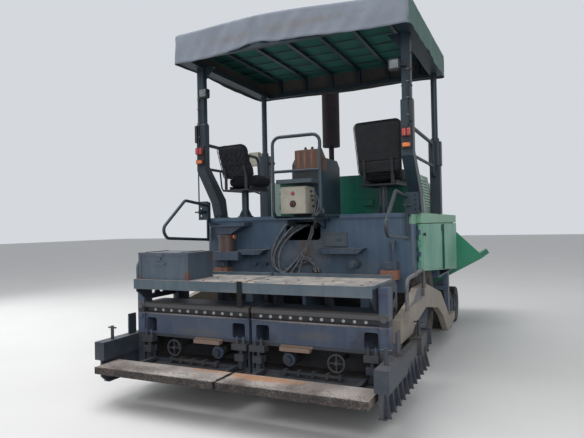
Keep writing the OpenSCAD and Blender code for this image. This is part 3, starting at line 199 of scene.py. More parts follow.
def stained(tree, spot, colour, stains):
    """Ragged stains over a colour: each has a centre, its reach along the three axes, a tone and a share."""
    for middle, reach, tone, share in stains:
        far = vectors(tree, "LENGTH", vectors(tree, "DIVIDE", vectors(tree, "SUBTRACT", spot, middle), reach))
        torn = noise(tree, spot, 1.3 / min(reach), 10.0, 0.75)
        reached = maths(tree, "MULTIPLY_ADD", torn, 3.2, far)
        colour = mix(tree, ranged(tree, reached, 2.65, 2.0, share), colour, tone)
    return colour


def fitted(tree, spot, colour, fittings):
    """Boxes of the object's own coordinates with a coat of their own, over a colour. A later box covers an earlier."""
    for low, high, own_coat in fittings:
        colour = mix(tree, inside_box(tree, spot, low, high), colour, own_coat)
    return colour


def enamel(name, coat, faded, dust="#948b82", dust_share=0.5, rust_share=0.25, splash_top=1.2, roughness=0.48,
           fittings=(), stains=()):
    """Machine enamel sprayed on steel plate: it fades in clouds and runs, chips to rust along edges and in spots,
    and takes dust on top faces and a splash of dust near the ground. Fittings are boxes with a coat of their own."""
    made, tree, shader, where = material(name)
    spot = where.outputs["Object"]
    clouds = noise(tree, spot, 1.7, 5.0, 0.6)
    long_ways = add(tree, "ShaderNodeMapping", {"Scale": (22.0, 22.0, 1.5), "Vector": spot})
    runs = noise(tree, long_ways.outputs[0], 1.0, 4.0)
    grit = noise(tree, spot, 60.0, 6.0, 0.7)
    patches = noise(tree, spot, 6.5, 8.0, 0.72)

    faded_share = ranged(tree, maths(tree, "MULTIPLY_ADD", runs, 0.5, clouds), 0.55, 0.98)
    colour = fitted(tree, spot, mix(tree, faded_share, coat, faded), fittings)

    on_top = ranged(tree, split(tree, where.outputs["Normal"])["Z"], 0.35, 0.95, 1.5 * dust_share)
    splash = ranged(tree, split(tree, spot)["Z"], splash_top, 0.1, dust_share)
    broken = ranged(tree, patches, 0.30, 0.72)
    dusty = maths(tree, "MULTIPLY", maths(tree, "MAXIMUM", on_top, splash), broken, clamp=True)
    colour = stained(tree, spot, mix(tree, dusty, colour, dust), stains)

    # An edge shows where the normal rounded by the bevel leaves the true one
    rounded = add(tree, "ShaderNodeBevel", {"samples": 3, "Radius": 0.006})
    true = add(tree, "ShaderNodeNewGeometry")
    flatness = vectors(tree, "DOT_PRODUCT", rounded.outputs[0], true.outputs["Normal"])
    eaten = maths(tree, "ADD", patches, ranged(tree, flatness, 0.995, 0.9, 0.20))
    low = 0.80 - 0.25 * rust_share
    rusty = ranged(tree, eaten, low, low + 0.07)
    colour = mix(tree, rusty, colour, mix(tree, grit, "#4a2e22", "#855338"))

    rough = ranged(tree, maths(tree, "MAXIMUM", dusty, rusty), 0.0, 1.0, 0.92, roughness)
    surfaced(tree, shader, colour, rough, grit, 0.35, 0.0015)
    return made


def scale_rust(name, pale, dark, dust, dust_share=0.6, stains=()):
    """Bare mild steel left outdoors: scale in two browns at hand size, grit at 2 mm, and trodden-in dust on top."""
    made, tree, shader, where = material(name)
    spot = where.outputs["Object"]
    blotches = noise(tree, spot, 5.0, 9.0, 0.7)
    grit = noise(tree, spot, 180.0, 3.0)
    colour = mix(tree, ranged(tree, blotches, 0.36, 0.64), dark, pale)
    drift = noise(tree, spot, 2.3, 6.0)
    on_top = maths(tree, "MULTIPLY", split(tree, where.outputs["Normal"])["Z"], drift, clamp=True)
    dusty = ranged(tree, on_top, 0.36, 0.62, dust_share)
    colour = stained(tree, spot, mix(tree, dusty, colour, dust), stains)
    surfaced(tree, shader, colour, 0.85, grit, 0.5, 0.002, metallic=0.15)
    return made


def wheel_finish(name, axle, x_mid, tyre_r, rim_colour):
    """A tyre and its painted rim in one node: outside the bead's radius it is carbon-black rubber, greyed by
    dust in the shoulders, and inside it is the rim's enamel."""
    made, tree, shader, where = material(name)
    spot = where.outputs["Object"]
    centred = vectors(tree, "SUBTRACT", spot, (x_mid, axle[0], axle[1]))
    radius = vectors(tree, "LENGTH", vectors(tree, "MULTIPLY", centred, (0.0, 1.0, 1.0)))
    is_tyre = ranged(tree, radius, tyre_r, tyre_r + 0.004)
    muddy = ranged(tree, noise(tree, spot, 7.0, 8.0, 0.7), 0.42, 0.75, 0.7)
    rubber = mix(tree, muddy, "#1c1c1e", "#6b6259")
    rim = mix(tree, muddy, rim_colour, "#7d7064")
    surfaced(tree, shader, mix(tree, is_tyre, rim, rubber), 0.82, noise(tree, spot, 90.0, 4.0), 0.3, 0.002)
    return made


def plain(name, main, second, scale, roughness, metallic=0.0, bump_mm=0.4, coat=0.0, stains=()):
    """A moulded, cast or machined finish in two near colours, mottled at a given scale."""
    made, tree, shader, where = material(name)
    spot = where.outputs["Object"]
    mottle = noise(tree, spot, scale, 7.0, 0.65)
    share = ranged(tree, mottle, 0.38, 0.66)
    colour = stained(tree, spot, mix(tree, share, main, second), stains)
    rough = ranged(tree, share, 0.0, 1.0, min(1.0, roughness + 0.2), roughness)
    surfaced(tree, shader, colour, rough, mottle, 0.4, bump_mm / 1000, metallic, coat)
    return made


# Each finish is named for what it is, and its comment says what that gives the eye
# The faded green of the hull's top edge and of the doors' rim
RIM = "#6d9c82"
# Sprayed plate, grey blue: clouds of fade, grime round the hose port, a green rim along the top edge
HULL = enamel("hull enamel, grey blue", "#304356", "#465a6d", dust_share=0.35, rust_share=0.3,
              fittings=[((1.19, -1.43, 1.597), (1.4, 1.62, 1.77), RIM),
                        ((-1.4, -1.43, 1.597), (-1.19, 1.62, 1.77), RIM)],
              stains=[((0.05, -1.434, 1.30), (0.36, 0.2, 0.26), "#6d7072", 0.55),
                      ((0.055, -1.434, 1.30), (0.10, 0.2, 0.16), "#5a4a42", 0.8),
                      ((-0.35, -1.434, 1.20), (0.14, 0.2, 0.22), "#5b6670", 0.5),
                      ((0.72, -1.434, 1.15), (0.20, 0.2, 0.10), "#59636b", 0.5)])
# The same paint under road dust: rusted bolt strips, caked lips, and near-black painted shade in the slot and
# underneath
SCREED = enamel("screed enamel, grey under road dust", "#313f55", "#455165", dust_share=0.14, rust_share=0.40,
                fittings=[((-1.3, -2.62, 0.828), (1.3, -2.5, 0.882), "#4a4a4c"),
                          # painted shade: a near-black band for the slot above the lips, where the pale bolts sit
                          ((-1.3, -2.60, 0.778), (1.3, -2.5, 0.828), "#10151c"),
                          ((-1.3, -3.04, 0.28), (1.3, -2.575, 0.58), "#2d333b"),
                          # painted shade: near-black low down under the screed, ahead of its rear wall
                          ((-1.3, -2.54, 0.1), (1.3, -2.1, 0.52), "#15191f"),
                          ((0.30, -2.67, 0.515), (0.60, -2.56, 0.57), "#7d6a5e"),
                          ((-0.60, -2.67, 0.515), (-0.30, -2.56, 0.57), "#7d6a5e")],
                stains=[((-0.65, -2.57, 0.768), (0.66, 0.1, 0.010), "#9a9288", 0.9),
                        ((0.65, -2.57, 0.768), (0.66, 0.1, 0.010), "#9a9288", 0.9),
                        ((0.62, -2.57, 0.66), (0.22, 0.3, 0.05), "#5b5753", 0.45),
                        ((-0.55, -2.57, 0.62), (0.30, 0.3, 0.05), "#5b5753", 0.45),
                        ((0.18, -2.57, 0.60), (0.10, 0.3, 0.07), "#2a2f36", 0.7),
                        ((1.05, -2.57, 0.63), (0.14, 0.3, 0.10), "#2a2f36", 0.6)])
# Paint blackened by handling, which sets the deck brackets off from the deck
BRACKET = enamel("bracket enamel under grime", "#1d2530", "#2a333e", dust_share=0.2, rust_share=0.3)
# Trodden plate: paint shows only in patches under pale dust
DECK = enamel("deck plate, trodden enamel", "#344653", "#4a5a63", dust="#a1978e", dust_share=0.95, rust_share=0.45)
# The air intake boxes, chalked pale green on the dark hood
POD = "#8fa79b"
# The louvres' slots as (rear end, front end, bottom), from the top one down
SLOTS = [(-0.53 + 0.034 * i, 0.04 * i - 0.19, 2.100 - 0.034 * i) for i in range(10)]
# Dark green and the glossiest paint here, with pale intake boxes and near-black painted shade inside the slots
HOOD = enamel("hood enamel, dark green", "#004639", "#045c4a", dust_share=0.12, rust_share=0.1, roughness=0.35,
              fittings=[((1.0015, -1, 1.7), (1.3, 1, 2.3), POD), ((-0.9, -1, 1.7), (-0.6665, 1, 2.3), POD)]
              # painted shade: the inside of each slot is coloured near-black
              + [((x, y0 - 0.001, z - 0.001), (x + 0.0255, y1 + 0.001, z + 0.014), "#0b100f")
                 for y0, y1, z in SLOTS for x in (1.114, -0.8045)])
# Sun-faded green, with pale streaks that run down
DOOR = enamel("door enamel, faded green", "#4c8a74", "#7aa893", dust_share=0.4, rust_share=0.15)
# A stronger green than the doors, rubbed and dusty where the load slides
WING = enamel("hopper enamel, green", "#1f7f5f", "#3b8d71", dust_share=0.5, rust_share=0.4)
# Dark slate paint deepened by painted shade to near-black, which draws the posts and rails sharply against the sky
POST = enamel("post enamel, slate with a green cast", "#0f1e29", "#1d303b", dust_share=0.1, rust_share=0.2)
# Black paint, half dull, so that the frame sinks behind the pads
SEAT_STEEL = plain("seat frame, black paint", "#121519", "#22262b", 12.0, 0.5)
# Paint nearly hidden by dust, so that the arms read as brown
ARM = enamel("tow arm enamel under dust", "#6d675e", "#8e8478", dust_share=0.8, rust_share=0.3, splash_top=2.0,
             fittings=[((side * 1.28 - 0.025, -2.1, 0.82), (side * 1.28 + 0.025, -1.24, 1.3), "#3f4751")
                       for side in (-1, 1)] +
                      [((side * 1.28 - 0.025, -1.24, 0.93), (side * 1.28 + 0.025, -1.0, 1.3), "#3b3735")
                       for side in (-1, 1)])
# Dark grey paint with dried asphalt along the middle
GATE = enamel("end gate enamel, dark grey", "#151f2c", "#24303f", dust_share=0.2, rust_share=0.35,
              stains=[((side * 1.3, -1.9, 0.5), (0.2, 0.45, 0.12), "#4a4640", 0.5) for side in (-1, 1)])
# Fresh orange rust, worn bare by boots
PATCH = "#a5744c"
# Bare plate in brown scale under pale dust, with orange patches, and painted shade on the front edge and in the gap
WALKWAY = scale_rust("walkway plate, rust scale", "#756a63", "#4d4541", "#a9a29d", 0.95,
                     stains=[((-0.22, -2.84, 0.375), (0.26, 0.13, 0.05), PATCH, 0.8),
                             ((0.32, -2.95, 0.375), (0.42, 0.09, 0.05), PATCH, 0.8),
                             ((0.10, -2.88, 0.375), (0.12, 0.07, 0.05), PATCH, 0.7),
                             ((-0.8, -3.05, 0.375), (0.30, 0.10, 0.04), "#5d5651", 0.7),
                             ((0.9, -2.95, 0.375), (0.22, 0.10, 0.04), "#77716d", 0.7)]
                     # painted shade: dark on the front edge face, and near-black in the gap between the two halves
                     + [((0.0, -3.19, 0.34), (3.0, 0.03, 0.16), "#232127", 0.85),
                        ((0.0, -3.0, 0.345), (0.030, 0.4, 0.2), "#141519", 0.95)])
# Heat-blackened pipe with a red cast and no dust
STACK = scale_rust("exhaust stack, heat rust", "#362a2f", "#1a1a21", "#362a2f", 0.1,
                   stains=[((0.05, -0.3, 3.0), (0.12, 0.12, 0.35), "#4d4448", 0.4)])
# Steel polished and stained by asphalt
IRON = scale_rust("auger and chain steel, worn", "#5a5450", "#34302e", "#8a7a6a", 0.5)
# Greased metal with soft highlights
STEEL = plain("bright steel, greased", "#6f7072", "#4b4a49", 14.0, 0.38, 0.9)
# Rough grey castings, dull
ENGINE = plain("engine cast iron", "#3a3f3c", "#2b2e2d", 8.0, 0.6, 0.4)
# Clean beige paint, the palest flat face on the rear
BOX = plain("switch box, beige enamel", "#9a968a", "#858277", 5.0, 0.5)
# Worn grey paint with rust that runs from the corners and the lid
TOOLBOX = enamel("toolbox enamel, worn grey", "#36434f", "#4a5763", dust_share=0.3, rust_share=0.45,
                 stains=[((-0.572, -2.76, 1.15), (0.04, 0.1, 0.05), "#5c382b", 0.9),
                         ((-0.553, -2.34, 1.30), (0.1, 0.03, 0.07), "#5c382b", 0.85),
                         ((-0.553, -2.75, 1.16), (0.1, 0.03, 0.05), "#5c382b", 0.8),
                         ((-1.12, -2.76, 1.14), (0.03, 0.1, 0.03), "#5c382b", 0.8)])
# Dark slate green, with a box of rusty ribs on top: pale rust stripes, and dark stripes of painted shade between them
CONSOLE = enamel("console enamel, slate green", "#0b222c", "#19343e", dust_share=0.2, rust_share=0.2,
                 # rust on the ribs, with painted shade as the dark stripes between them
                 stains=[((x, -1.65, 2.30), (0.010, 0.3, 0.13), tone, 0.6) for x, tone in
                         ((0.10, "#7d5a44"), (0.135, "#2e211d"), (0.17, "#86603f"), (0.21, "#33231d"),
                          (0.25, "#7d5a44"), (0.29, "#3a2820"))],
                 fittings=[((0.05, -1.69, 2.172), (0.35, -1.49, 2.5), "#54392e"),
                           ((0.0, -1.69, 2.055), (0.34, -1.6, 2.169), "#23292c"),
                           ((-0.1, -1.9, 2.0), (0.36, -1.67, 2.08), "#3f4a52"),
                           ((-0.1, -1.9, 1.5), (0.36, -1.5, 1.672), "#3d4957")])
# Grey paint with oily brown feet under the blocks
WALL = enamel("pump and block enamel", "#2c3a48", "#445261", dust_share=0.4, rust_share=0.45,
              fittings=[((side - 0.12, -1.6, 1.035), (side + 0.12, -1.4, 1.1365), "#7d5548") for side in (-0.976, 1.0)]
              + [((-0.801, -1.6, 1.44), (-0.77, -1.5, 1.52), "#b4643c"),
                 ((-0.99, -1.64, 1.322), (-0.79, -1.42, 1.51), "#4a3a37"),
                 ((0.26, -1.45, 1.37), (0.54, -1.4, 1.52), "#4b555e")])
# Greyed rubber, which parts the hoses from the dark port
RUBBER = plain("hose rubber, greyed", "#454a51", "#666a6e", 20.0, 0.55)
# Dull black, a plain dark line between the deck halves
SEAL = plain("deck seal, black rubber", "#06080b", "#101317", 16.0, 0.85)
# Black with a soft sheen along its seams
VINYL = plain("seat vinyl, black", "#08090e", "#12131b", 9.0, 0.6)
# Yellow open foam, rough, where the cover is torn
FOAM = plain("seat foam, yellowed", "#8a6a48", "#5c4632", 30.0, 0.95, bump_mm=2.0)
# Matt black cloth with coarse folds
SEAT_CLOTH = plain("torn seat cloth, greyed black", "#070a10", "#15181f", 7.0, 0.9, bump_mm=1.5)
# Chalky grey sheet, soft and matt, with a faint brown smear on the rear skirt
TARP = plain("tarp, weathered polyester", "#6a717b", "#7a818c", 2.2, 0.8,
             stains=[((0.2, -1.9, 3.64), (0.7, 0.1, 0.06), "#6e6a6a", 0.6),
                     ((-0.6, -1.9, 3.62), (0.3, 0.1, 0.05), "#6e6a6a", 0.6)])
# The side skirts, still greenish under the fade
TARP_SIDE = plain("tarp, faded green polyester", "#44625a", "#5c736d", 3.0, 0.8)
# The deep green that shows from below, out of the sun
TARP_INSIDE = plain("tarp underside, dark green", "#0c4a44", "#155c52", 4.0, 0.8)
# Grimed grey inside the skirts
TARP_HEM = plain("tarp skirt inside, grimed", "#35383a", "#4a443f", 5.0, 0.9)
# Black moulding, slightly glossy
PLASTIC = plain("lamp body, black plastic", "#1a1b1e", "#26272a", 12.0, 0.5)
# Dull red moulding under the rotary grip
KNOB_RED = plain("rotary base, dull red plastic", "#571f1c", "#6d2a24", 10.0, 0.6)
# Clear-coated red that catches a highlight
LENS_RED = plain("lamp lens, red", "#a31f1c", "#c33a2b", 6.0, 0.2, coat=0.6)
# Clear-coated amber, the same gloss
LENS_AMBER = plain("lamp lens, amber", "#c4571b", "#d9752b", 6.0, 0.2, coat=0.6)
# Grey glass, the glossiest surface here, on the work lamps' black cases
LENS_CLEAR = plain("work lamp glass, grey", "#545d63", "#858d92", 6.0, 0.12, coat=0.8)
# Pale edges that stripe the dark slots
LIP = plain("louvre lips, pale enamel", "#a3b8ac", "#8ba296", 14.0, 0.5)
# Dry grey-brown crumbs, matt
CRUST = scale_rust("asphalt crust, dry", "#6d655e", "#393431", "#8f857b", 0.6)
# Pale zinc dots along the near-black band of painted shade
PALE_BOLT = plain("strip bolts, pale zinc", "#a8a9a8", "#85868a", 60.0, 0.5, 0.2)
# Browned zinc that glints a little
BOLT = plain("bolt heads, weathered zinc", "#7b766c", "#54493f", 60.0, 0.45, 0.6)

FINISH = {
    "main_frame": HULL, "upper_body": HULL, "engine": ENGINE, "hood": HOOD, "hood_lid": HOOD, "exhaust": STACK,
    "canopy_posts": POST, "canopy_frame": POST, "canopy_cover": TARP, "lamps": PLASTIC, "console": CONSOLE,
    "switch_box": BOX, "handrails": POST, "wall_fittings": WALL, "hoses": RUBBER, "seat_pedestals": POST,
    "hopper_body": HULL, "conveyor": IRON, "push_beam": HULL, "bogies": HULL, "rear_axle": IRON, "tow_arms": ARM,
    "main_screed": SCREED, "deck_brackets": BRACKET, "screed_deck": DECK, "toolbox": TOOLBOX, "toolbox_lid": TOOLBOX,
}
for side, _ in SIDES:
    FINISH.update({"seat_frame_" + side: SEAT_STEEL, "seat_pads_" + side: VINYL, "door_rear_" + side: DOOR,
                   "door_front_" + side: DOOR, "wing_" + side: WING, "push_roller_" + side: IRON,
                   "auger_" + side: IRON, "extension_" + side: SCREED, "end_gate_" + side: GATE,
                   "walkway_" + side: WALKWAY})
    for end in ("rear", "front"):
        FINISH["knuckle_%s_%s" % (side, end)] = HULL


def centre(node):
    low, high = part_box(node)
    return (low + high) / 2


for side, _ in SIDES:
    mid = centre("rear_wheel_" + side)
    FINISH["rear_wheel_" + side] = wheel_finish("rear tyre and rim, " + side, (mid.y, mid.z), mid.x, 0.318, "#4b5765")
    for end in ("rear", "front"):
        node = "front_wheel_%s_%s" % (side, end)
        mid = centre(node)
        FINISH[node] = wheel_finish(node.replace("_", " "), (mid.y, mid.z), mid.x, 0.198, "#4b5765")

for name, node in NODES.items():
    node.data.materials.clear()
    node.data.materials.append(FINISH[name])


# ---------------------------------------------------------------- makers of pieces
def piece(name, verts, faces, finish, body, smooth=False):
    """A mesh piece that rides on a body, with one finish or a list of them."""
    mesh = bpy.data.meshes.new(name)
    mesh.from_pydata([tuple(v) for v in verts], [], faces)
    for one in finish if isinstance(finish, (list, tuple)) else [finish]:
        mesh.materials.append(one)
    mesh.validate()
    if smooth:
        mesh.polygons.foreach_set("use_smooth", [True] * len(mesh.polygons))
    made = bpy.data.objects.new(name, mesh)
    bpy.context.scene.collection.objects.link(made)
    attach(made, body)
    return made


def settled(made):
    """Applies the modifiers of a piece, so that its mesh is what it looks like."""
    shape = bpy.data.meshes.new_from_object(made.evaluated_get(bpy.context.evaluated_depsgraph_get()))
    made.modifiers.clear()
    old, made.data = made.data, shape
    bpy.data.meshes.remove(old)
    return made


def outward(made):
    """Merges a shell's doubles and turns its faces outwards."""
    work = bmesh.new()
    work.from_mesh(made.data)
    bmesh.ops.remove_doubles(work, verts=work.verts, dist=1e-5)
    bmesh.ops.recalc_face_normals(work, faces=work.faces)
    work.to_mesh(made.data)
    work.free()
    return made


def rounded_plan(width, depth, radius, steps=6):
    """The corners of a rectangle with round corners, centred, counter-clockwise."""
    points = []
    for cx, cy, start in ((1, 1, 0), (-1, 1, 90), (-1, -1, 180), (1, -1, 270)):
        for k in range(steps + 1):
            turn = math.radians(start + 90 * k / steps)
            points.append((cx * (width / 2 - radius) + radius * math.cos(turn),
                           cy * (depth / 2 - radius) + radius * math.sin(turn)))
    return points


def stacked(rings, closed_ends=True):
    """Faces between rings of points, each ring with the same number of them, with its ends closed."""
    count = len(rings[0])
    verts = [v for ring in rings for v in ring]
    faces = [(i * count + k, i * count + (k + 1) % count, (i + 1) * count + (k + 1) % count, (i + 1) * count + k)
             for i in range(len(rings) - 1) for k in range(count)]
    if closed_ends:
        faces += [tuple(range(count))[::-1], tuple(range((len(rings) - 1) * count, len(rings) * count))]
    return verts, faces


def turned(name, profile, place, axis, finish, body, count=32):
    """A turned piece: (distance along the axis, radius) corners, spun about an axis through a place."""
    axis = Vector(axis)
    across = axis.orthogonal().normalized()
    up = axis.cross(across)
    rings = [[Vector(place) + axis * d + (across * math.cos(2 * math.pi * k / count) +
              up * math.sin(2 * math.pi * k / count)) * r for k in range(count)] for d, r in profile]
    verts, faces = stacked(rings)
    return outward(piece(name, verts, faces, finish, body, smooth=True))


def block(name, low, high, radius, finish, body):
    """A moulded or pressed block between two corners, with its edges rounded."""
    low, high = Vector(low), Vector(high)
    verts = [(x, y, z) for x in (low.x, high.x) for y in (low.y, high.y) for z in (low.z, high.z)]
    faces = [(0, 1, 3, 2), (4, 6, 7, 5), (0, 4, 5, 1), (2, 3, 7, 6), (0, 2, 6, 4), (1, 5, 7, 3)]
    made = outward(piece(name, verts, faces, finish, body))
    bevel = made.modifiers.new("rounding", "BEVEL")
    bevel.width, bevel.segments = radius, 3
    return settled(made)


def swept(name, path, radius, finish, body, sides=10):
    """A tube along a path of close points."""
    ahead = (path[1] - path[0]).normalized()
    across = ahead.orthogonal().normalized()
    rings = []
    for i, spot in enumerate(path):
        along = (path[min(i + 1, len(path) - 1)] - path[max(i - 1, 0)]).normalized()
        across = (across - along * across.dot(along)).normalized()
        up = along.cross(across)
        rings.append([spot + (across * math.cos(2 * math.pi * k / sides) + up * math.sin(2 * math.pi * k / sides)) *
                      radius for k in range(sides)])
    verts, faces = stacked(rings)
    return outward(piece(name, verts, faces, finish, body, smooth=True))


def geometry_tree(name, inputs):
    """An empty Geometry Nodes tree with named inputs, and its group input and output."""
    tree = bpy.data.node_groups.new(name, "GeometryNodeTree")
    tree.interface.new_socket("Geometry", in_out="INPUT", socket_type="NodeSocketGeometry")
    tree.interface.new_socket("Geometry", in_out="OUTPUT", socket_type="NodeSocketGeometry")
    for title, kind in inputs:
        tree.interface.new_socket(title, in_out="INPUT", socket_type="NodeSocket" + kind)
    return tree, tree.nodes.new("NodeGroupInput"), tree.nodes.new("NodeGroupOutput")


def grown(name, tree, verts, inputs, body, faces=()):
    """Runs a Geometry Nodes tree on some points or faces and keeps the result as one plain mesh."""
    mesh = bpy.data.meshes.new(name)
    mesh.from_pydata([tuple(v) for v in verts], [], list(faces))
    made = bpy.data.objects.new(name, mesh)
    bpy.context.scene.collection.objects.link(made)
    grow = made.modifiers.new("grow", "NODES")
    grow.node_group = tree
    for item in tree.interface.items_tree:
        if item.item_type == "SOCKET" and item.in_out == "INPUT" and item.name in inputs:
            grow[item.identifier] = inputs[item.name]
    settled(made)
    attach(made, body)
    return made


def realized(tree, out, geometry, finish):
    """Ends a tree: instances made real, with their finish."""
    real = add(tree, "GeometryNodeRealizeInstances", links={0: geometry})
    dressed = add(tree, "GeometryNodeSetMaterial", links={0: real.outputs[0], "Material": finish})
    tree.links.new(dressed.outputs[0], out.inputs[0])


def make_bolt_tree():
    """Hexagon heads with their washers, one at each point, standing along Z until they are turned."""
    tree, given, out = geometry_tree("bolt heads", [("Across", "Float"), ("Height", "Float"), ("Turn", "Vector"),
                                                    ("Finish", "Material")])
    head = add(tree, "GeometryNodeMeshCylinder", {"Vertices": 6}, {"Radius": given.outputs["Across"],
                                                                  "Depth": given.outputs["Height"]})
    wide = add(tree, "ShaderNodeMath", {"operation": "MULTIPLY", 1: 1.45}, {0: given.outputs["Across"]})
    thin = add(tree, "ShaderNodeMath", {"operation": "MULTIPLY", 1: 0.3}, {0: given.outputs["Height"]})
    washer = add(tree, "GeometryNodeMeshCylinder", {"Vertices": 14}, {"Radius": wide.outputs[0],
                                                                     "Depth": thin.outputs[0]})
    both = add(tree, "GeometryNodeJoinGeometry")
    tree.links.new(head.outputs[0], both.inputs[0])
    tree.links.new(washer.outputs[0], both.inputs[0])
    placed = add(tree, "GeometryNodeInstanceOnPoints", links={"Points": given.outputs[0], "Instance": both.outputs[0],
                                                              "Rotation": given.outputs["Turn"]})
    realized(tree, out, placed.outputs[0], given.outputs["Finish"])
    return tree


BOLT_TREE = make_bolt_tree()
TURNS = {"z": (0.0, 0.0, 0.0), "y": (math.pi / 2, 0.0, 0.3), "x": (0.0, math.pi / 2, 0.2)}


def bolts(name, body, spots, facing, across, height, finish=BOLT):
    """Bolt heads at spots on a face that looks along one axis; across is the radius over the corners."""
    return grown(name, BOLT_TREE, spots, {"Across": across, "Height": height, "Turn": TURNS[facing],
                                          "Finish": finish}, body)


def bolt_circle(name, body, x, mid, radius, count, across, height, phase=0.0):
    """Nuts or bolts in a circle about an axle, at x along it."""
    spots = [(x, mid.y + radius * math.cos(a), mid.z + radius * math.sin(a))
             for a in [2 * math.pi * (k + phase) / count for k in range(count)]]
    return bolts(name, body, spots, "x", across, height)


# ---------------------------------------------------------------- canopy cover
CANOPY_HALF = 1.335  # half the cover's width
BOW_X = -0.28        # where the bent batten stands highest
BOW_END = 0.045      # how far it lifts the rear left corner
BOW_TOP = 0.085      # and the highest place


def bow(x, back):
    """How far the bent rear batten lifts the cover: highest left of the middle, and less towards the front.
    Back is -1 at the rear edge and 1 at the front edge."""
    left = x < BOW_X
    side = (x + CANOPY_HALF) / (BOW_X + CANOPY_HALF) if left else (CANOPY_HALF - x) / (CANOPY_HALF - BOW_X)
    side = max(0.0, min(1.0, side))
    ease = side * side * (3 - 2 * side)
    rise = BOW_END + (BOW_TOP - BOW_END) * ease if left else BOW_TOP * ease
    rear = max(0.0, min(1.0, (-back - 0.1) / 0.9))
    return rise * rear * rear


def canopy_sheet():
    """The canopy's cover, one sheet sewn at its four corners: it sags between the ribs, its skirts hang in shallow
    folds, and the rear skirt has the kink where a batten has bent."""
    low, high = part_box("canopy_cover")
    middle = (low + high) / 2
    width, depth = high.x - low.x, high.y - low.y
    drop = high.z - low.z
    round_off = 0.05
    ribs = 0.4  # from rib to rib
    skin = 0.004  # how far the sheet lies inside the solid's faces
    perimeter = rounded_plan(width, depth, round_off, 5)
    spaced = []
    for (x0, y0), (x1, y1) in zip(perimeter, perimeter[1:] + perimeter[:1]):
        length = math.hypot(x1 - x0, y1 - y0)
        parts = max(1, round(length / 0.03))
        spaced += [(x0 + (x1 - x0) * i / parts, y0 + (y1 - y0) * i / parts) for i in range(parts)]
    rings = []
    edge = 0.022
    for share in [0.02 + 0.94 * i / 30 for i in range(31)] + [0.975]:
        ring = []
        for x, y in spaced:
            x, y = x * share, y * share
            inner = min(1, 4 * (1 - share)) * min(1.0, max(0.0, (depth / 2 - abs(y)) / 0.3))
            between = math.cos(math.pi * x / ribs) ** 2 if abs(x) < 1.2 else 0.3
            sag = 0.016 * between * inner + 0.003 * math.sin(9 * x + 5 * y) * inner
            ring.append((middle.x + x, middle.y + y, high.z - skin - sag + bow(x, y / (depth / 2))))
        rings.append(ring)
    around = 0.0
    lengths = []
    for (x0, y0), (x1, y1) in zip(spaced, spaced[1:] + spaced[:1]):
        lengths.append(around)
        around += math.hypot(x1 - x0, y1 - y0)
    for row in range(16):
        down = (row / 15) ** 1.1
        ring = []
        for (x, y), s in zip(spaced, lengths):
            reach = math.hypot(x, y)
            rim = edge * (1 - math.sqrt(max(0.0, 1 - (1 - min(1.0, down * drop / edge)) ** 2)))
            fold = 0.007 * math.sin(s * 7.0 + 1.3 * math.sin(s * 2.1)) + 0.004 * math.sin(s * 23.0 + down * 4)
            kink = 0.0
            at_rear = y < -depth / 2 + 0.06
            if at_rear:
                across = x - BOW_X
                kink = -0.028 * math.exp(-(across / 0.05) ** 2) + 0.018 * math.exp(-((across - 0.09) / 0.05) ** 2)
                fold += 0.006 * math.sin(x * 31.0 + down * 7)
            turned_hem = 0.004 if down > 0.9 else 0.0
            push = fold * down ** 0.7 + kink * min(1, down * 2)
            if at_rear:
                push -= sum(deep * math.exp(-((x - at + 0.22 * down) / 0.014) ** 2) * (1 - down)
                            for at, deep in ((-0.62, 0.008), (-0.50, 0.011), (-0.43, 0.008), (-0.36, 0.010)))
            out = max(-0.008, min(0.009, push)) - rim - skin + turned_hem
            hem = 0.010 * math.sin(s * 3.3) * down + (0.035 * down * math.exp(-((x - BOW_X) / 0.16) ** 2)
                                                     if y < 0 else 0.0)
            lift = bow(x, y / (depth / 2)) * (1 - 0.55 * down)
            if down > 0.5 and x < -0.6:
                lift *= 1 - 2 * (down - 0.5) * min(1.0, (-0.6 - x) / 0.5)
            ring.append((middle.x + x + out * x / max(reach, 1e-6), middle.y + y + out * y / max(reach, 1e-6),
                         high.z - skin - down * (drop - 0.006) + hem + lift))
        rings.append(ring)
    verts, faces = stacked(rings, closed_ends=False)
    count = len(spaced)
    faces.append(tuple(range(count))[::-1])
    cloth = outward(piece("canopy_sheet", verts, faces, [TARP, TARP_INSIDE, TARP_SIDE, TARP_HEM], "chassis",
                          smooth=True))
    wall = cloth.modifiers.new("cloth", "SOLIDIFY")
    wall.thickness, wall.offset, wall.material_offset = 0.003, -1, 1
    settled(cloth)
    for face in cloth.data.polygons:
        if face.material_index == 0 and abs(face.normal.x) > 0.8:
            face.material_index = 2
        elif face.material_index == 1 and abs(face.normal.z) < 0.5:
            face.material_index = 3
    for i, y in enumerate((-1.80, -1.56, -1.28, -1.0, -0.7, -0.4, -0.1)):
        swept("canopy_rod_%d" % i, [Vector((x, y, 3.7105 - 0.006 * math.cos(x * 1.3) + 0.92 * bow(x, (y - middle.y) /
                                    (depth / 2)))) for x in [-1.29 + 0.086 * k for k in range(31)]],
              0.006, POST, "chassis", 6)
    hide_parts("canopy_cover")
    return cloth


canopy_sheet()


# ---------------------------------------------------------------- seat pads
SEATS = {"left": ((-0.796, -1.25, 2.08), -8, 0.45, (-0.055, 0.25), 0.42, -0.16, 22, (-0.05, 0.35)),
         "right": ((0.812, -0.97, 2.08), -8, 0.48, (-0.015, 0.29), 0.56, -0.12, 6, (-0.07, 0.52))}


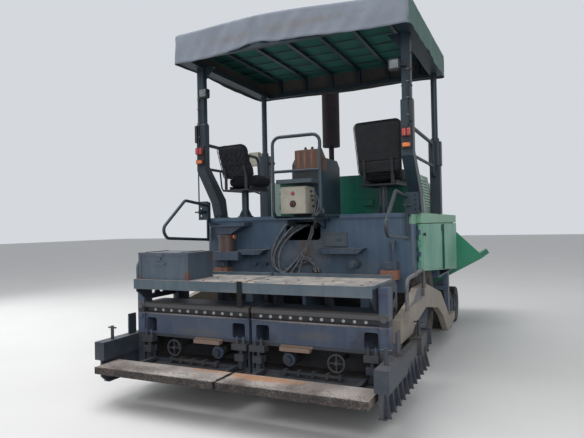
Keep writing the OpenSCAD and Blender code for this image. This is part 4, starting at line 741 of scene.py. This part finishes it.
def pad_blank(name, outline, thick, place, body, finish):
    """A pad before it is stuffed: a flat outline with its edges rounded over, put in its place."""
    rings = []
    middle = (sum(p[0] for p in outline) / len(outline), sum(p[1] for p in outline) / len(outline))
    for level, inset in ((0.0, 0.03), (0.08, 0.012), (0.25, 0.004), (0.5, 0.0), (0.75, 0.004), (0.92, 0.012),
                         (1.0, 0.03)):
        ring = []
        for x, y in outline:
            dx, dy = x - middle[0], y - middle[1]
            reach = math.hypot(dx, dy)
            shrink = 1 - inset / reach
            ring.append(place @ Vector((middle[0] + dx * shrink, middle[1] + dy * shrink, level * thick)))
        rings.append(ring)
    verts, faces = stacked(rings)
    return outward(piece(name, verts, faces, finish, body, smooth=True))


PUFF_FRAMES = 20  # how long the cloth simulation runs


def stuff(pad, place, cap, voxel=0.008):
    """Blows a pad up like foam under its cover with a cloth simulation. How far a point may move is capped across
    the pad, and held to a quarter of that in its own plane, where its board keeps it wide."""
    skin = pad.modifiers.new("even mesh", "REMESH")
    skin.mode, skin.voxel_size = "VOXEL", voxel
    settled(pad)
    puff = pad.modifiers.new("puff", "CLOTH")
    puff.settings.use_pressure = True
    puff.settings.uniform_pressure_force = 4
    puff.settings.effector_weights.gravity = 0
    puff.settings.quality = 4
    puff.point_cache.frame_start, puff.point_cache.frame_end = 1, PUFF_FRAMES
    flat = np.empty(len(pad.data.vertices) * 3)
    pad.data.vertices.foreach_get("co", flat)
    for frame_number in range(1, PUFF_FRAMES + 1):
        bpy.context.scene.frame_set(frame_number)
    blown = bpy.data.meshes.new_from_object(pad.evaluated_get(bpy.context.evaluated_depsgraph_get()))
    full = np.empty_like(flat)
    blown.vertices.foreach_get("co", full)
    bpy.data.meshes.remove(blown)
    pad.modifiers.clear()
    bpy.context.scene.frame_set(1)
    across = np.array(place.to_3x3() @ Vector((0, 0, 1)))
    step = (full - flat).reshape(-1, 3)
    rise = np.clip(step @ across, -cap, cap)[:, None] * across
    spread = step - (step @ across)[:, None] * across
    reach = np.linalg.norm(spread, axis=1, keepdims=True)
    spread *= np.minimum(1.0, cap / 4 / np.maximum(reach, 1e-9))
    pad.data.vertices.foreach_set("co", (flat.reshape(-1, 3) + rise + spread).ravel())


def sew(pad, place, lines, depth, wrinkle=0.0):
    """Presses seams and sewn channels into a stuffed pad, and wrinkles its cover. Each line runs between two
    [x, y] points of the pad's own plane, and the seam round its sides lies at half its thickness."""
    smooth = pad.modifiers.new("finer", "SUBSURF")
    smooth.levels = smooth.render_levels = 1
    settled(pad)
    mesh = pad.data
    spots = np.empty(len(mesh.vertices) * 3)
    mesh.vertices.foreach_get("co", spots)
    normals = np.empty_like(spots)
    mesh.vertices.foreach_get("normal", normals)
    spots, normals = spots.reshape(-1, 3), normals.reshape(-1, 3)
    back = np.array(place.inverted())
    own = spots @ back[:3, :3].T + back[:3, 3]
    press = np.zeros(len(own))
    for (ax, ay), (bx, by) in lines:
        a, b = np.array([ax, ay]), np.array([bx, by])
        share = np.clip((own[:, :2] - a) @ (b - a) / ((b - a) @ (b - a)), 0, 1)[:, None]
        away = np.linalg.norm(own[:, :2] - a - share * (b - a), axis=1)
        press = np.maximum(press, np.exp(-(away / 0.007) ** 2))
    folds = (np.sin(own[:, 0] * 38 + 4 * np.sin(own[:, 1] * 17)) * np.sin(own[:, 1] * 29 + 3 * np.sin(own[:, 0] * 23)) +
             0.5 * np.sin(own[:, 0] * 83 + own[:, 2] * 60 + 3 * np.sin(own[:, 1] * 41)))
    spots = spots - normals * (depth * press)[:, None] + normals * (wrinkle * folds)[:, None]
    mesh.vertices.foreach_set("co", spots.ravel())
    mesh.update()
    mesh.polygons.foreach_set("use_smooth", [True] * len(mesh.polygons))


def piping(name, outline, level, place, body, finish, radius=0.0045):
    """The welt sewn round a pad."""
    ring = [place @ Vector((x, y, level)) for x, y in outline]
    verts = []
    count = len(ring)
    normal = (place.to_3x3() @ Vector((0, 0, 1))).normalized()
    for i, spot in enumerate(ring):
        along = (ring[(i + 1) % count] - ring[i - 1]).normalized()
        out = along.cross(normal)
        verts += [spot + (out * math.cos(k * math.pi / 3) + normal * math.sin(k * math.pi / 3)) * radius
                  for k in range(6)]
    faces = [(i * 6 + k, ((i + 1) % count) * 6 + k, ((i + 1) % count) * 6 + (k + 1) % 6, i * 6 + (k + 1) % 6)
             for i in range(count) for k in range(6)]
    return outward(piece(name, verts, faces, finish, body, smooth=True))


def dress_seats():
    """Cushion and back of each seat: the right one smooth vinyl with two sewn channels, the left one slack under
    a torn cloth cover, with its foam bare at one corner."""
    for side, (spot, turn, wide, (rear, front), back_wide, back_y, lean, (foot, tall)) in SEATS.items():
        base = Matrix.Translation(spot) @ Matrix.Rotation(math.radians(turn), 4, "Z")
        cover = VINYL if side == "right" else SEAT_CLOTH
        slack = 0.0024 if side == "left" else 0.0004
        grow, body = 0.012, "seat_" + side
        flat = base @ Matrix.Translation((0, (rear + front) / 2, grow))
        cushion = pad_blank("seat_cushion_" + side, rounded_plan(wide, front - rear, 0.05), 0.12 - 2 * grow, flat,
                            body, cover)
        stuff(cushion, flat, 0.02)
        half, seam = (front - rear) / 2, wide / 2 - 0.10
        sew(cushion, flat, [((-seam, -half), (-seam, half)), ((seam, -half), (seam, half)),
                            ((-seam, 0.1 - half), (seam, 0.1 - half))], 0.007, slack)
        upright = (base @ Matrix.Translation((0, back_y, 0.13)) @ Matrix.Rotation(math.radians(90 + lean), 4, "X"))
        upright = upright @ Matrix.Translation((0, 0, -0.08 + grow))
        t = back_wide / 2
        foot_in = 0.065 if side == "right" else 0.03
        corners = [((t - 0.06, tall - 0.06), 0.06, 0, 90), ((-t + 0.06, tall - 0.06), 0.06, 90, 180),
                   ((-t + foot_in, foot + 0.04), 0.04, 180, 270), ((t - foot_in, foot + 0.04), 0.04, 270, 360)]
        outline = [(c[0] + r * math.cos(math.radians(a0 + (a1 - a0) * k / 6)),
                    c[1] + r * math.sin(math.radians(a0 + (a1 - a0) * k / 6)))
                   for c, r, a0, a1 in corners for k in range(7)]
        back = pad_blank("seat_back_" + side, outline, 0.08 - 2 * grow, upright, body, cover)
        stuff(back, upright, 0.014)
        lines = [((-t * 0.86, foot + 0.15), (t * 0.86, foot + 0.15))]
        if side == "left":
            lines += [((x, foot + 0.1), (x, tall - 0.1)) for x in (-t / 3, t / 3)]
        sew(back, upright, lines, 0.007, slack * 1.8)
        piping("seat_welt_" + side, [(x * 0.985, (y - 0.2) * 0.985 + 0.2) for x, y in outline],
               (0.08 - 2 * grow) * 0.9, upright, body, cover)
        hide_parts("seat_pads_" + side)
    spot, turn, wide, (rear, front) = SEATS["left"][:4]
    base = Matrix.Translation(spot) @ Matrix.Rotation(math.radians(turn), 4, "Z")
    torn = pad_blank("seat_foam_left", [(0.03 * math.cos(a) * (1 + 0.3 * math.sin(3 * a)), 0.055 * math.sin(a))
                                        for a in [2 * math.pi * k / 24 for k in range(24)]], 0.02,
                     base @ Matrix.Translation((wide / 2 - 0.05, front - 0.1, 0.094)), "seat_left", FOAM)


dress_seats()


# ---------------------------------------------------------------- rear wheels
def make_lug_tree():
    """Tread bars round a tyre: each starts on the axle's line at the tyre's radius, is skewed, and is turned
    about the axle to its place."""
    tree, given, out = geometry_tree("tread bars", [("Count", "Int"), ("Radius", "Float"), ("Skew", "Float"),
                                                    ("Across", "Float"), ("Size", "Vector"), ("Finish", "Material")])
    points = add(tree, "GeometryNodePoints", links={"Count": given.outputs["Count"]})
    start = add(tree, "ShaderNodeCombineXYZ", links={0: given.outputs["Across"], 2: given.outputs["Radius"]})
    lifted = add(tree, "GeometryNodeSetPosition", links={0: points.outputs[0], "Position": start.outputs[0]})
    bar = add(tree, "GeometryNodeMeshCube", {"Vertices X": 3}, {"Size": given.outputs["Size"]})
    turn = add(tree, "ShaderNodeCombineXYZ", links={2: given.outputs["Skew"]})
    placed = add(tree, "GeometryNodeInstanceOnPoints", links={"Points": lifted.outputs[0], "Instance": bar.outputs[0],
                                                              "Rotation": turn.outputs[0]})
    number = add(tree, "GeometryNodeInputIndex")
    step = add(tree, "ShaderNodeMath", {"operation": "DIVIDE", 0: 2 * math.pi}, {1: given.outputs["Count"]})
    angle = add(tree, "ShaderNodeMath", {"operation": "MULTIPLY"}, {0: number.outputs[0], 1: step.outputs[0]})
    about = add(tree, "ShaderNodeCombineXYZ", links={0: angle.outputs[0]})
    spun = add(tree, "GeometryNodeRotateInstances", {"Local Space": False, "Pivot Point": (0.0, 0.0, 0.0)},
               {0: placed.outputs[0], "Rotation": about.outputs[0]})
    realized(tree, out, spun.outputs[0], given.outputs["Finish"])
    return tree


def moved(made, by):
    """Shifts a piece's mesh, so that its object stays at the origin."""
    made.data.transform(Matrix.Translation(by))
    return made


def dress_rear_wheels():
    """Tyre carcass with tread bars and a dished rim with its nuts, in place of the plain wheel solid."""
    tree = make_lug_tree()
    for side, sign in SIDES:
        low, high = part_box("rear_wheel_" + side)
        mid = (low + high) / 2
        radius = (high.z - low.z) / 2
        body = "rear_wheel_" + side
        finish = FINISH[body]
        w = 0.2  # half the tyre's width
        tread = radius - 0.024
        profile = [(-w + 0.06, 0.300), (-w + 0.02, 0.322), (-w + 0.004, 0.36), (-w, 0.42), (-w, 0.50),
                   (-w + 0.006, 0.58), (-w + 0.03, 0.63), (-w + 0.07, tread - 0.006), (0, tread),
                   (w - 0.07, tread - 0.006), (w - 0.03, 0.63), (w - 0.006, 0.58), (w, 0.50), (w, 0.42),
                   (w - 0.004, 0.36), (w - 0.02, 0.322), (w - 0.06, 0.300), (w - 0.065, 0.285), (0.09, 0.27),
                   (0.075, 0.24), (0.062, 0.16), (0.075, 0.15), (0.115, 0.148), (0.122, 0.135), (0.124, 0.0801),
                   (0.03, 0.0801), (0.03, 0.15), (0.05, 0.16), (0.05, 0.28), (-w + 0.06, 0.29)]
        count = 72
        rings = [[(mid.x + sign * d, mid.y + r * math.cos(2 * math.pi * k / count),
                   mid.z + r * math.sin(2 * math.pi * k / count)) for k in range(count)] for d, r in profile]
        verts, faces = stacked(rings + [rings[0]], closed_ends=False)
        tyre = outward(piece("rear_tyre_" + side, verts, faces, finish, body, smooth=True))
        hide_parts(body)
        for half in (-1, 1):
            bars = grown("tread_%s_%s" % (side, "inner" if half * sign < 0 else "outer"), tree, [(0, 0, 0)],
                         {"Count": 26, "Radius": radius - 0.0155, "Skew": half * 0.62, "Across": half * 0.092,
                          "Size": (0.175, 0.048, 0.029), "Finish": finish}, body)
            moved(bars, mid)
        bolt_circle("wheel_nuts_" + side, body, mid.x + sign * 0.071, mid, 0.205, 10, 0.019, 0.03)


dress_rear_wheels()


# ---------------------------------------------------------------- hoses and cables
def hose(name, points, radius, finish, body, steps=6, sides=10):
    """A hose on a smooth curve through its points."""
    spots = [Vector(p) for p in points]
    spots = [spots[0] * 2 - spots[1]] + spots + [spots[-1] * 2 - spots[-2]]
    path = []
    for a, b, c, d in zip(spots, spots[1:], spots[2:], spots[3:]):
        for t in [k / steps for k in range(steps)]:
            path.append((b * 2 + (c - a) * t + (a * 2 - b * 5 + c * 4 - d) * t * t +
                         (b * 3 - a - c * 3 + d) * t ** 3) * 0.5)
    return swept(name, path + [spots[-2]], radius, finish, body, sides)


# Each hose out of the rear wall's port as (how far it hangs out, its radius, [x, z] points, end in the manifold)
PORT_HOSES = [
    (-1.455, 0.0155, [(-0.171, 1.599), (-0.292, 1.431), (-0.349, 1.277), (-0.327, 1.151), (-0.23, 1.09),
                      (-0.113, 1.154), (-0.006, 1.24), (0.069, 1.252), (0.142, 1.212)], (0.158, 1.117)),
    (-1.478, 0.0145, [(0.012, 1.6), (-0.142, 1.499), (-0.26, 1.376), (-0.314, 1.25), (-0.292, 1.139),
                      (-0.197, 1.074), (-0.059, 1.136), (0.047, 1.196), (0.136, 1.206), (0.205, 1.16)], (0.222, 1.1)),
    (-1.50, 0.013, [(-0.039, 1.601), (-0.182, 1.47), (-0.268, 1.349), (-0.3, 1.238), (-0.277, 1.134),
                     (-0.175, 1.087), (-0.064, 1.185), (0.027, 1.227), (0.101, 1.23), (0.18, 1.175)], (0.196, 1.1)),
    (-1.522, 0.012, [(0.096, 1.599), (-0.078, 1.493), (-0.193, 1.357), (-0.23, 1.226), (-0.215, 1.116),
                     (-0.148, 1.04)], None),
    (-1.54, 0.011, [(0.184, 1.597), (0.171, 1.498), (0.11, 1.378), (0.04, 1.284), (-0.053, 1.181),
                      (-0.169, 1.05)], None),
    (-1.556, 0.010, [(0.2, 1.597), (0.154, 1.472), (0.1, 1.352), (0.039, 1.231), (-0.03, 1.136), (-0.09, 1.04)],
     None),
    (-1.572, 0.0085, [(0.21, 1.596), (0.202, 1.518), (0.139, 1.379), (0.085, 1.26), (0.046, 1.152), (0.02, 1.05)],
     None)]


def dress_hoses():
    """The hose bundle of the rear wall's port, with crimped ends, and the pump's hose on the left."""
    for i, (out_y, radius, spots, end) in enumerate(PORT_HOSES):
        x0, z0 = spots[0]
        points = [(x0 * 0.8 + 0.02, -1.3, z0 - 0.01), (x0 * 0.9 + 0.01, -1.38, z0 + 0.002)]
        points += [(x, out_y, z) for x, z in spots]
        if end:
            points += [(end[0], out_y, end[1]), (end[0] + 0.002, out_y, 1.047)]
            turned("hose_crimp_%d" % i, [(0, radius + 0.002), (0.003, radius + 0.004), (0.042, radius + 0.004),
                                         (0.045, radius + 0.002)], (end[0] + 0.001, out_y, end[1] - 0.02), (0, 0, 1),
                   STEEL, "chassis", 14)
        else:
            points += [(-0.02, -1.5, 1.0), (0.089, -1.49, 1.026)]
        made = hose("port_hose_%d" % i, points, radius, RUBBER, "chassis")
        if i == 0:
            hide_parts("hoses")
    for i, (x, z) in enumerate(((-0.225, 1.092), (-0.17, 1.12))):
        turned("hose_tie_%d" % i, [(0, 0.0155), (0.002, 0.019), (0.022, 0.019), (0.024, 0.0155)],
               (x - 0.01, -1.456 - 0.001 * i, z - 0.004), Vector((0.87, 0, 0.5 * i)).normalized(), STEEL, "chassis",
               12)
    hose("pump_hose", [(-1.062, -1.606, 1.606), (-1.062, -1.606, 1.5), (-1.075, -1.6, 1.36), (-1.112, -1.565, 1.22),
                       (-1.12, -1.515, 1.12), (-1.1, -1.514, 1.088), (-1.065, -1.514, 1.088)],
         0.011, RUBBER, "chassis")
    for i, z in enumerate((1.95, 1.905, 1.86, 1.80)):
        reach = 0.05 + 0.022 * i
        turned("cable_gland_%d" % i, [(0, 0.012), (0.012, 0.012), (0.013, 0.009), (0.02, 0.009)],
               (0.254, -1.74 + 0.02 * i, z), (1, 0, 0), PLASTIC, "chassis", 12)
        hose("box_cable_%d" % i, [(0.27, -1.74 + 0.02 * i, z), (0.27 + reach * 0.7, -1.742 + 0.018 * i, z - 0.008),
                                  (0.27 + reach, -1.75 + 0.014 * i, z - 0.07),
                                  (0.275 + reach * 0.75, -1.76 + 0.01 * i, 1.76 - 0.01 * i),
                                  (0.272 + 0.012 * i, -1.75, 1.69), (0.268 + 0.009 * i, -1.68, 1.64),
                                  (0.2 + 0.006 * i, -1.55, 1.6), (0.15 + 0.01 * i, -1.4, 1.575),
                                  (0.12, -1.31, 1.56)], 0.0058, RUBBER, "chassis", sides=8)


dress_hoses()


# ---------------------------------------------------------------- switch box, lamps and small fittings
def dress_switch_box():
    """The switch box with its lid, beacon lamp and rotary switch, and the box and knob on the left front post."""
    cover = block("switch_box_case", (-0.028, -1.858, 1.72), (0.255, -1.6215, 2.0), 0.006, BOX, "chassis")
    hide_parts("switch_box")
    block("switch_box_lid", (-0.024, -1.868, 1.724), (0.251, -1.8575, 1.996), 0.004, BOX, "chassis")
    for z in (1.77, 1.92):
        turned("box_hinge_%d" % (z * 100), [(0, 0.006), (0.002, 0.008), (0.038, 0.008), (0.04, 0.006)],
               (-0.03, -1.862, z), (0, 0, 1), STEEL, "chassis", 12)
    for name, profile, y, z, finish, count in (
            ("warning_lamp_rim", [(0, 0.019), (0.006, 0.019), (0.007, 0.014)], -1.867, 1.928, PLASTIC, 24),
            ("warning_lamp", [(0, 0.014), (0.008, 0.0135), (0.012, 0.009), (0.0132, 0.001)], -1.872, 1.928,
             LENS_RED, 24),
            ("rotary_plate", [(0, 0.036), (0.004, 0.036), (0.005, 0.034)], -1.867, 1.822, PLASTIC, 32),
            ("rotary_base", [(0, 0.025), (0.012, 0.0235), (0.014, 0.02)], -1.871, 1.822, KNOB_RED, 28)):
        turned(name, profile, (0.115, y, z), (0, -1, 0), finish, "chassis", count)
    block("rotary_grip", (0.108, -1.898, 1.799), (0.122, -1.882, 1.845), 0.004, PLASTIC, "chassis")
    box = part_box("switch_box")
    left = box[0].x
    block("post_box", (left, 0.02, 2.49), (left + 0.169, 0.11, 2.69), 0.012, BOX, "chassis")
    block("post_box_lid", (left + 0.008, 0.0135, 2.498), (left + 0.161, 0.0205, 2.682), 0.004, BOX, "chassis")
    knob = left + 0.17 + 0.001 + 0.125 + 0.08
    turned("knob_stem", [(0, 0.013), (0.05, 0.013)], (knob - 0.05, 0.07, 2.51), (1, 0, 0), STEEL, "chassis",
           16)
    turned("knob_ball", [(0.0, 0.008)] + [(0.03 - 0.03 * math.cos(a), 0.03 * math.sin(a)) for a in
                                          [math.pi * k / 12 for k in range(2, 11)]] + [(0.06, 0.004)],
           (knob - 0.03, 0.07, 2.51), (1, 0, 0), PLASTIC, "chassis", 24)


POST_X, POST_REAR_Y = 1.215, -1.545  # the rear posts' middle and rear face


def dress_lamps():
    """Lenses of the tail, turn and work lamps on the rear posts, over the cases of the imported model."""
    for side, sign in SIDES:
        for name, x0, x1, z0, z1, finish in (("tail_lamp_outer", 0.004, 0.044, 2.455, 2.535, LENS_RED),
                                             ("tail_lamp_inner", -0.044, 0.002, 2.455, 2.535, LENS_RED),
                                             ("turn_lamp", -0.044, 0.040, 2.345, 2.395, LENS_AMBER)):
            a, b = sorted((sign * (POST_X + x0), sign * (POST_X + x1)))
            depth = 0.049 if finish is LENS_AMBER else 0.053
            block("%s_%s" % (name, side), (a - 0.001, POST_REAR_Y - depth, z0 - 0.001),
                  (b + 0.001, POST_REAR_Y - 0.024, z1 + 0.001), 0.012, finish, "chassis")
        a, b = sorted(sign * (POST_X - inward) for inward in (0.138, 0.052))
        block("work_lamp_glass_" + side, (a, POST_REAR_Y - 0.0925, 3.117), (b, POST_REAR_Y - 0.084, 3.203), 0.006,
              LENS_CLEAR, "chassis")
        cable_x = sign * 1.235
        hose("lamp_cable_" + side, [(cable_x, -1.56, 2.56), (cable_x + sign * 0.006, -1.553, 2.7),
                                    (cable_x - sign * 0.008, -1.552, 2.88), (cable_x + sign * 0.004, -1.551, 3.05),
                                    (cable_x - sign * 0.01, -1.552, 3.16), (sign * 1.19, -1.56, 3.18)],
             0.0065, PLASTIC, "chassis", sides=8)
        for k, z in enumerate((2.66, 2.83, 2.99, 3.11)):
            block("cable_clip_%s_%d" % (side, k), (cable_x - 0.016, -1.562, z), (cable_x + 0.016, -1.5455, z + 0.014),
                  0.003, STEEL, "chassis")


dress_switch_box()
dress_lamps()


# ---------------------------------------------------------------- console panel, bolts, crumbs and skins
def dress_console():
    """The driving panel on the console's front: two gauges, a row of lamps and push buttons, and three levers."""
    for k, x in enumerate((0.08, 0.19)):
        turned("gauge_%d" % k, [(0, 0.040), (0.008, 0.040), (0.010, 0.036), (0.008, 0.034), (0.0075, 0.001)],
               (x, -1.30, 2.326), (0, 0, 1), PLASTIC, "chassis", 32)
    for k in range(6):
        turned("button_%d" % k, [(0, 0.011), (0.008, 0.011), (0.009, 0.007), (0.013, 0.006), (0.014, 0.001)],
               (0.06 + 0.036 * k, -1.215, 2.326), (0, 0, 1), (LENS_RED, PLASTIC, LENS_AMBER)[k % 3], "chassis",
               16)
    for k, x in enumerate((0.07, 0.15, 0.23)):
        swept("lever_%d" % k, [Vector((x, -1.38 - 0.03 * t * t, 2.325 + 0.11 * t)) for t in
                               [i / 6 for i in range(7)]], 0.005, STEEL, "chassis", 8)
        turned("lever_knob_%d" % k, [(0, 0.006), (0.006, 0.013), (0.018, 0.016), (0.030, 0.013), (0.036, 0.002)],
               (x, -1.41, 2.425), (0, 0, 1), PLASTIC, "chassis", 16)


def dress_bolts():
    """Bolt heads where the photograph shows them, and where the type has them."""
    for side, sign in SIDES:
        strip = [(sign * (0.104 + 0.0967 * k), -2.5705, 0.805) for k in range(11)]
        bolts("strip_bolts_" + side, "extension_" + side, strip, "y", 0.010, 0.019, PALE_BOLT)
        bolts("deck_bolts_" + side, "screed", [(sign * x, y, 1.1185) for x in (0.12, 0.42, 0.75, 1.08)
                                               for y in (-2.69, -2.45)], "z", 0.008, 0.006)
        bolts("post_foot_bolts_" + side, "chassis",
              [(sign * x, y, 1.726) for x in (1.185, 1.245) for y in (-1.225, -1.05)], "z", 0.014, 0.012)


def dress_deck():
    """The rubber seal over the gap between the two halves of the deck's fascia."""
    block("deck_seal", (-0.024, -2.767, 0.90), (0.024, -2.7565, 1.128), 0.002, SEAL, "screed")


def make_crumb_tree():
    """Crumbs strewn over faces: low-sided stones of a few millimetres, each turned and sized by a fixed seed."""
    tree, given, out = geometry_tree("crumbs", [("Per Square Metre", "Float"), ("Size", "Float"), ("Seed", "Int"),
                                                ("Finish", "Material")])
    strewn = add(tree, "GeometryNodeDistributePointsOnFaces", links={
        "Mesh": given.outputs[0], "Density": given.outputs["Per Square Metre"], "Seed": given.outputs["Seed"]})
    stone = add(tree, "GeometryNodeMeshIcoSphere", {"Subdivisions": 1}, {"Radius": given.outputs["Size"]})
    turn = add(tree, "FunctionNodeRandomValue", {"data_type": "FLOAT_VECTOR", 1: (6.0, 6.0, 6.0)},
               {"Seed": given.outputs["Seed"]})
    size = add(tree, "FunctionNodeRandomValue", {"data_type": "FLOAT_VECTOR", 0: (0.3, 0.3, 0.2), 1: (1.3, 1.3, 0.8)},
               {"Seed": given.outputs["Seed"]})
    placed = add(tree, "GeometryNodeInstanceOnPoints", links={
        "Points": strewn.outputs[0], "Instance": stone.outputs[0], "Rotation": turn.outputs[0],
        "Scale": size.outputs[0]})
    realized(tree, out, placed.outputs[0], given.outputs["Finish"])
    return tree


def dress_crumbs():
    """Asphalt crumbs stuck along the walkways' edges and the screed's lips."""
    tree = make_crumb_tree()
    for side, sign in SIDES:
        a, b = sorted((sign * 0.02, sign * 1.25))
        strips = [("walkway_face", [(a, -3.1805, 0.32), (b, -3.1805, 0.32), (b, -3.1805, 0.372), (a, -3.1805, 0.372)],
                   12000, 0.0050, "walkway_" + side, "rusty_steel"),
                  ("walkway_top", [(a, -3.178, 0.3755), (b, -3.178, 0.3755), (b, -3.05, 0.3755), (a, -3.05, 0.3755)],
                   1600, 0.0040, "walkway_" + side, "rusty_steel"),
                  ("lip", [(a, -2.578, 0.769), (b, -2.578, 0.769), (b, -2.571, 0.779), (a, -2.571, 0.779)],
                   42000, 0.0034, "extension_" + side, "dusty_steel")]
        for k, (name, corners, density, size, body, slot) in enumerate(strips):
            grown("%s_crumbs_%s" % (name, side), tree, corners,
                  {"Per Square Metre": density, "Size": size, "Seed": 3 + k, "Finish": CRUST}, body,
                  faces=[(0, 1, 2, 3)])


def dress_louvres():
    """The pressed lip over each slot of the two air intakes."""
    for side, face, sign in (("right", 1.1405, 1), ("left", -0.8055, -1)):
        verts, faces = [], []
        for y0, y1, z in SLOTS:
            first = len(verts)
            profile = [(0.0, 0.026), (0.0, 0.013), (0.0105, 0.001), (0.0125, 0.002), (0.0125, 0.005)]
            verts += [(face + sign * x, y, z + up) for y in (y0 - 0.004, y1 + 0.004) for x, up in profile]
            faces += [(first + k, first + (k + 1) % 5, first + 5 + (k + 1) % 5, first + 5 + k) for k in range(5)]
            faces += [tuple(range(first, first + 5)), tuple(range(first + 5, first + 10))[::-1]]
        outward(piece("louvre_lips_" + side, verts, faces, LIP, "chassis"))


def dress_hubs():
    """Hub caps and wheel nuts of the front wheels, and the bolted hub covers of the rear ones."""
    for side, sign in SIDES:
        for end in ("rear", "front"):
            body = "front_wheel_%s_%s" % (side, end)
            mid = centre(body)
            turned("hub_cap_%s_%s" % (side, end), [(0, 0.066), (0.012, 0.066), (0.03, 0.058), (0.036, 0.03),
                                                   (0.037, 0.001)], (sign * 1.0975, mid.y, mid.z), (sign, 0, 0),
                   FINISH[body], body, 28)
            bolt_circle("hub_nuts_%s_%s" % (side, end), body, sign * 1.011, mid, 0.137, 8, 0.014, 0.02)
        body = "rear_wheel_" + side
        mid = centre(body)
        turned("hub_cover_" + side, [(0, 0.128), (0.006, 0.130), (0.020, 0.124), (0.026, 0.10), (0.03, 0.05),
                                     (0.031, 0.001)], (sign * 1.0955, mid.y, mid.z), (sign, 0, 0), FINISH[body], body,
               40)
        bolt_circle("hub_cover_bolts_" + side, body, sign * 1.118, mid, 0.112, 8, 0.010, 0.014, 0.5)


DOOR_FACE = 1.2515  # just clear of the door solids' outer faces


def dress_doors():
    """Each side door's outer skin: the rear one bows a little, the front one stands proud at its rear edge; with
    a latch over the gap between them and a pull on the rear one."""
    for side, sign in SIDES:
        for end, y0, y1, stand, clear in (("rear", -1.07, 0.19, (0.003, 0.008, 0.006), 0.045),
                                          ("front", 0.212, 1.54, (0.030, 0.022, 0.004), 0.012)):
            verts, columns = [], 14
            for level in (0, 1):
                for i in range(columns + 1):
                    t = i / columns
                    y = y0 + (y1 - y0) * t
                    proud = stand[0] * (1 - t) ** 2 + 2 * stand[1] * t * (1 - t) + stand[2] * t * t
                    low = 1.100 - (y + 1.145) * 0.2 / 2.695 + clear * (1 - t) + 0.012 * t
                    for z in (low, 1.582):
                        verts.append((sign * (DOOR_FACE + proud * level), y, z))
            half = 2 * (columns + 1)
            faces = []
            for i in range(columns):
                a = 2 * i
                faces += [(a, a + 2, a + 3, a + 1), (half + a, half + a + 1, half + a + 3, half + a + 2),
                          (a, half + a, half + a + 2, a + 2), (a + 1, a + 3, half + a + 3, half + a + 1)]
            faces += [(0, 1, half + 1, half), (half - 2, 2 * half - 2, 2 * half - 1, half - 1)]
            skin = outward(piece("door_skin_%s_%s" % (end, side), verts, faces, DOOR,
                                 "door_%s_%s" % (end, side)))
            bevel = skin.modifiers.new("rounding", "BEVEL")
            bevel.width, bevel.segments = 0.002, 2
            settled(skin)
        # A dark green strip on the front door's rear edge face: painted shade of the gap between the doors
        a, b = sorted((sign * DOOR_FACE, sign * 1.2815))
        block("door_gap_lip_" + side, (a, 0.2055, 1.015), (b, 0.2115, 1.582), 0.001, HOOD, "door_front_" + side)
        a, b = sorted((sign * 1.2565, sign * 1.274))
        block("door_latch_" + side, (a, 0.135, 1.50), (b, 0.185, 1.575), 0.004, POST, "door_rear_" + side)
        turned("door_pull_" + side, [(0, 0.012), (0.012, 0.012), (0.014, 0.02), (0.022, 0.02), (0.024, 0.001)],
               (sign * 1.256, -1.02, 1.48), (sign, 0, 0), POST, "door_rear_" + side, 16)


dress_console()
dress_bolts()
dress_deck()
dress_crumbs()
dress_louvres()
dress_hubs()
dress_doors()
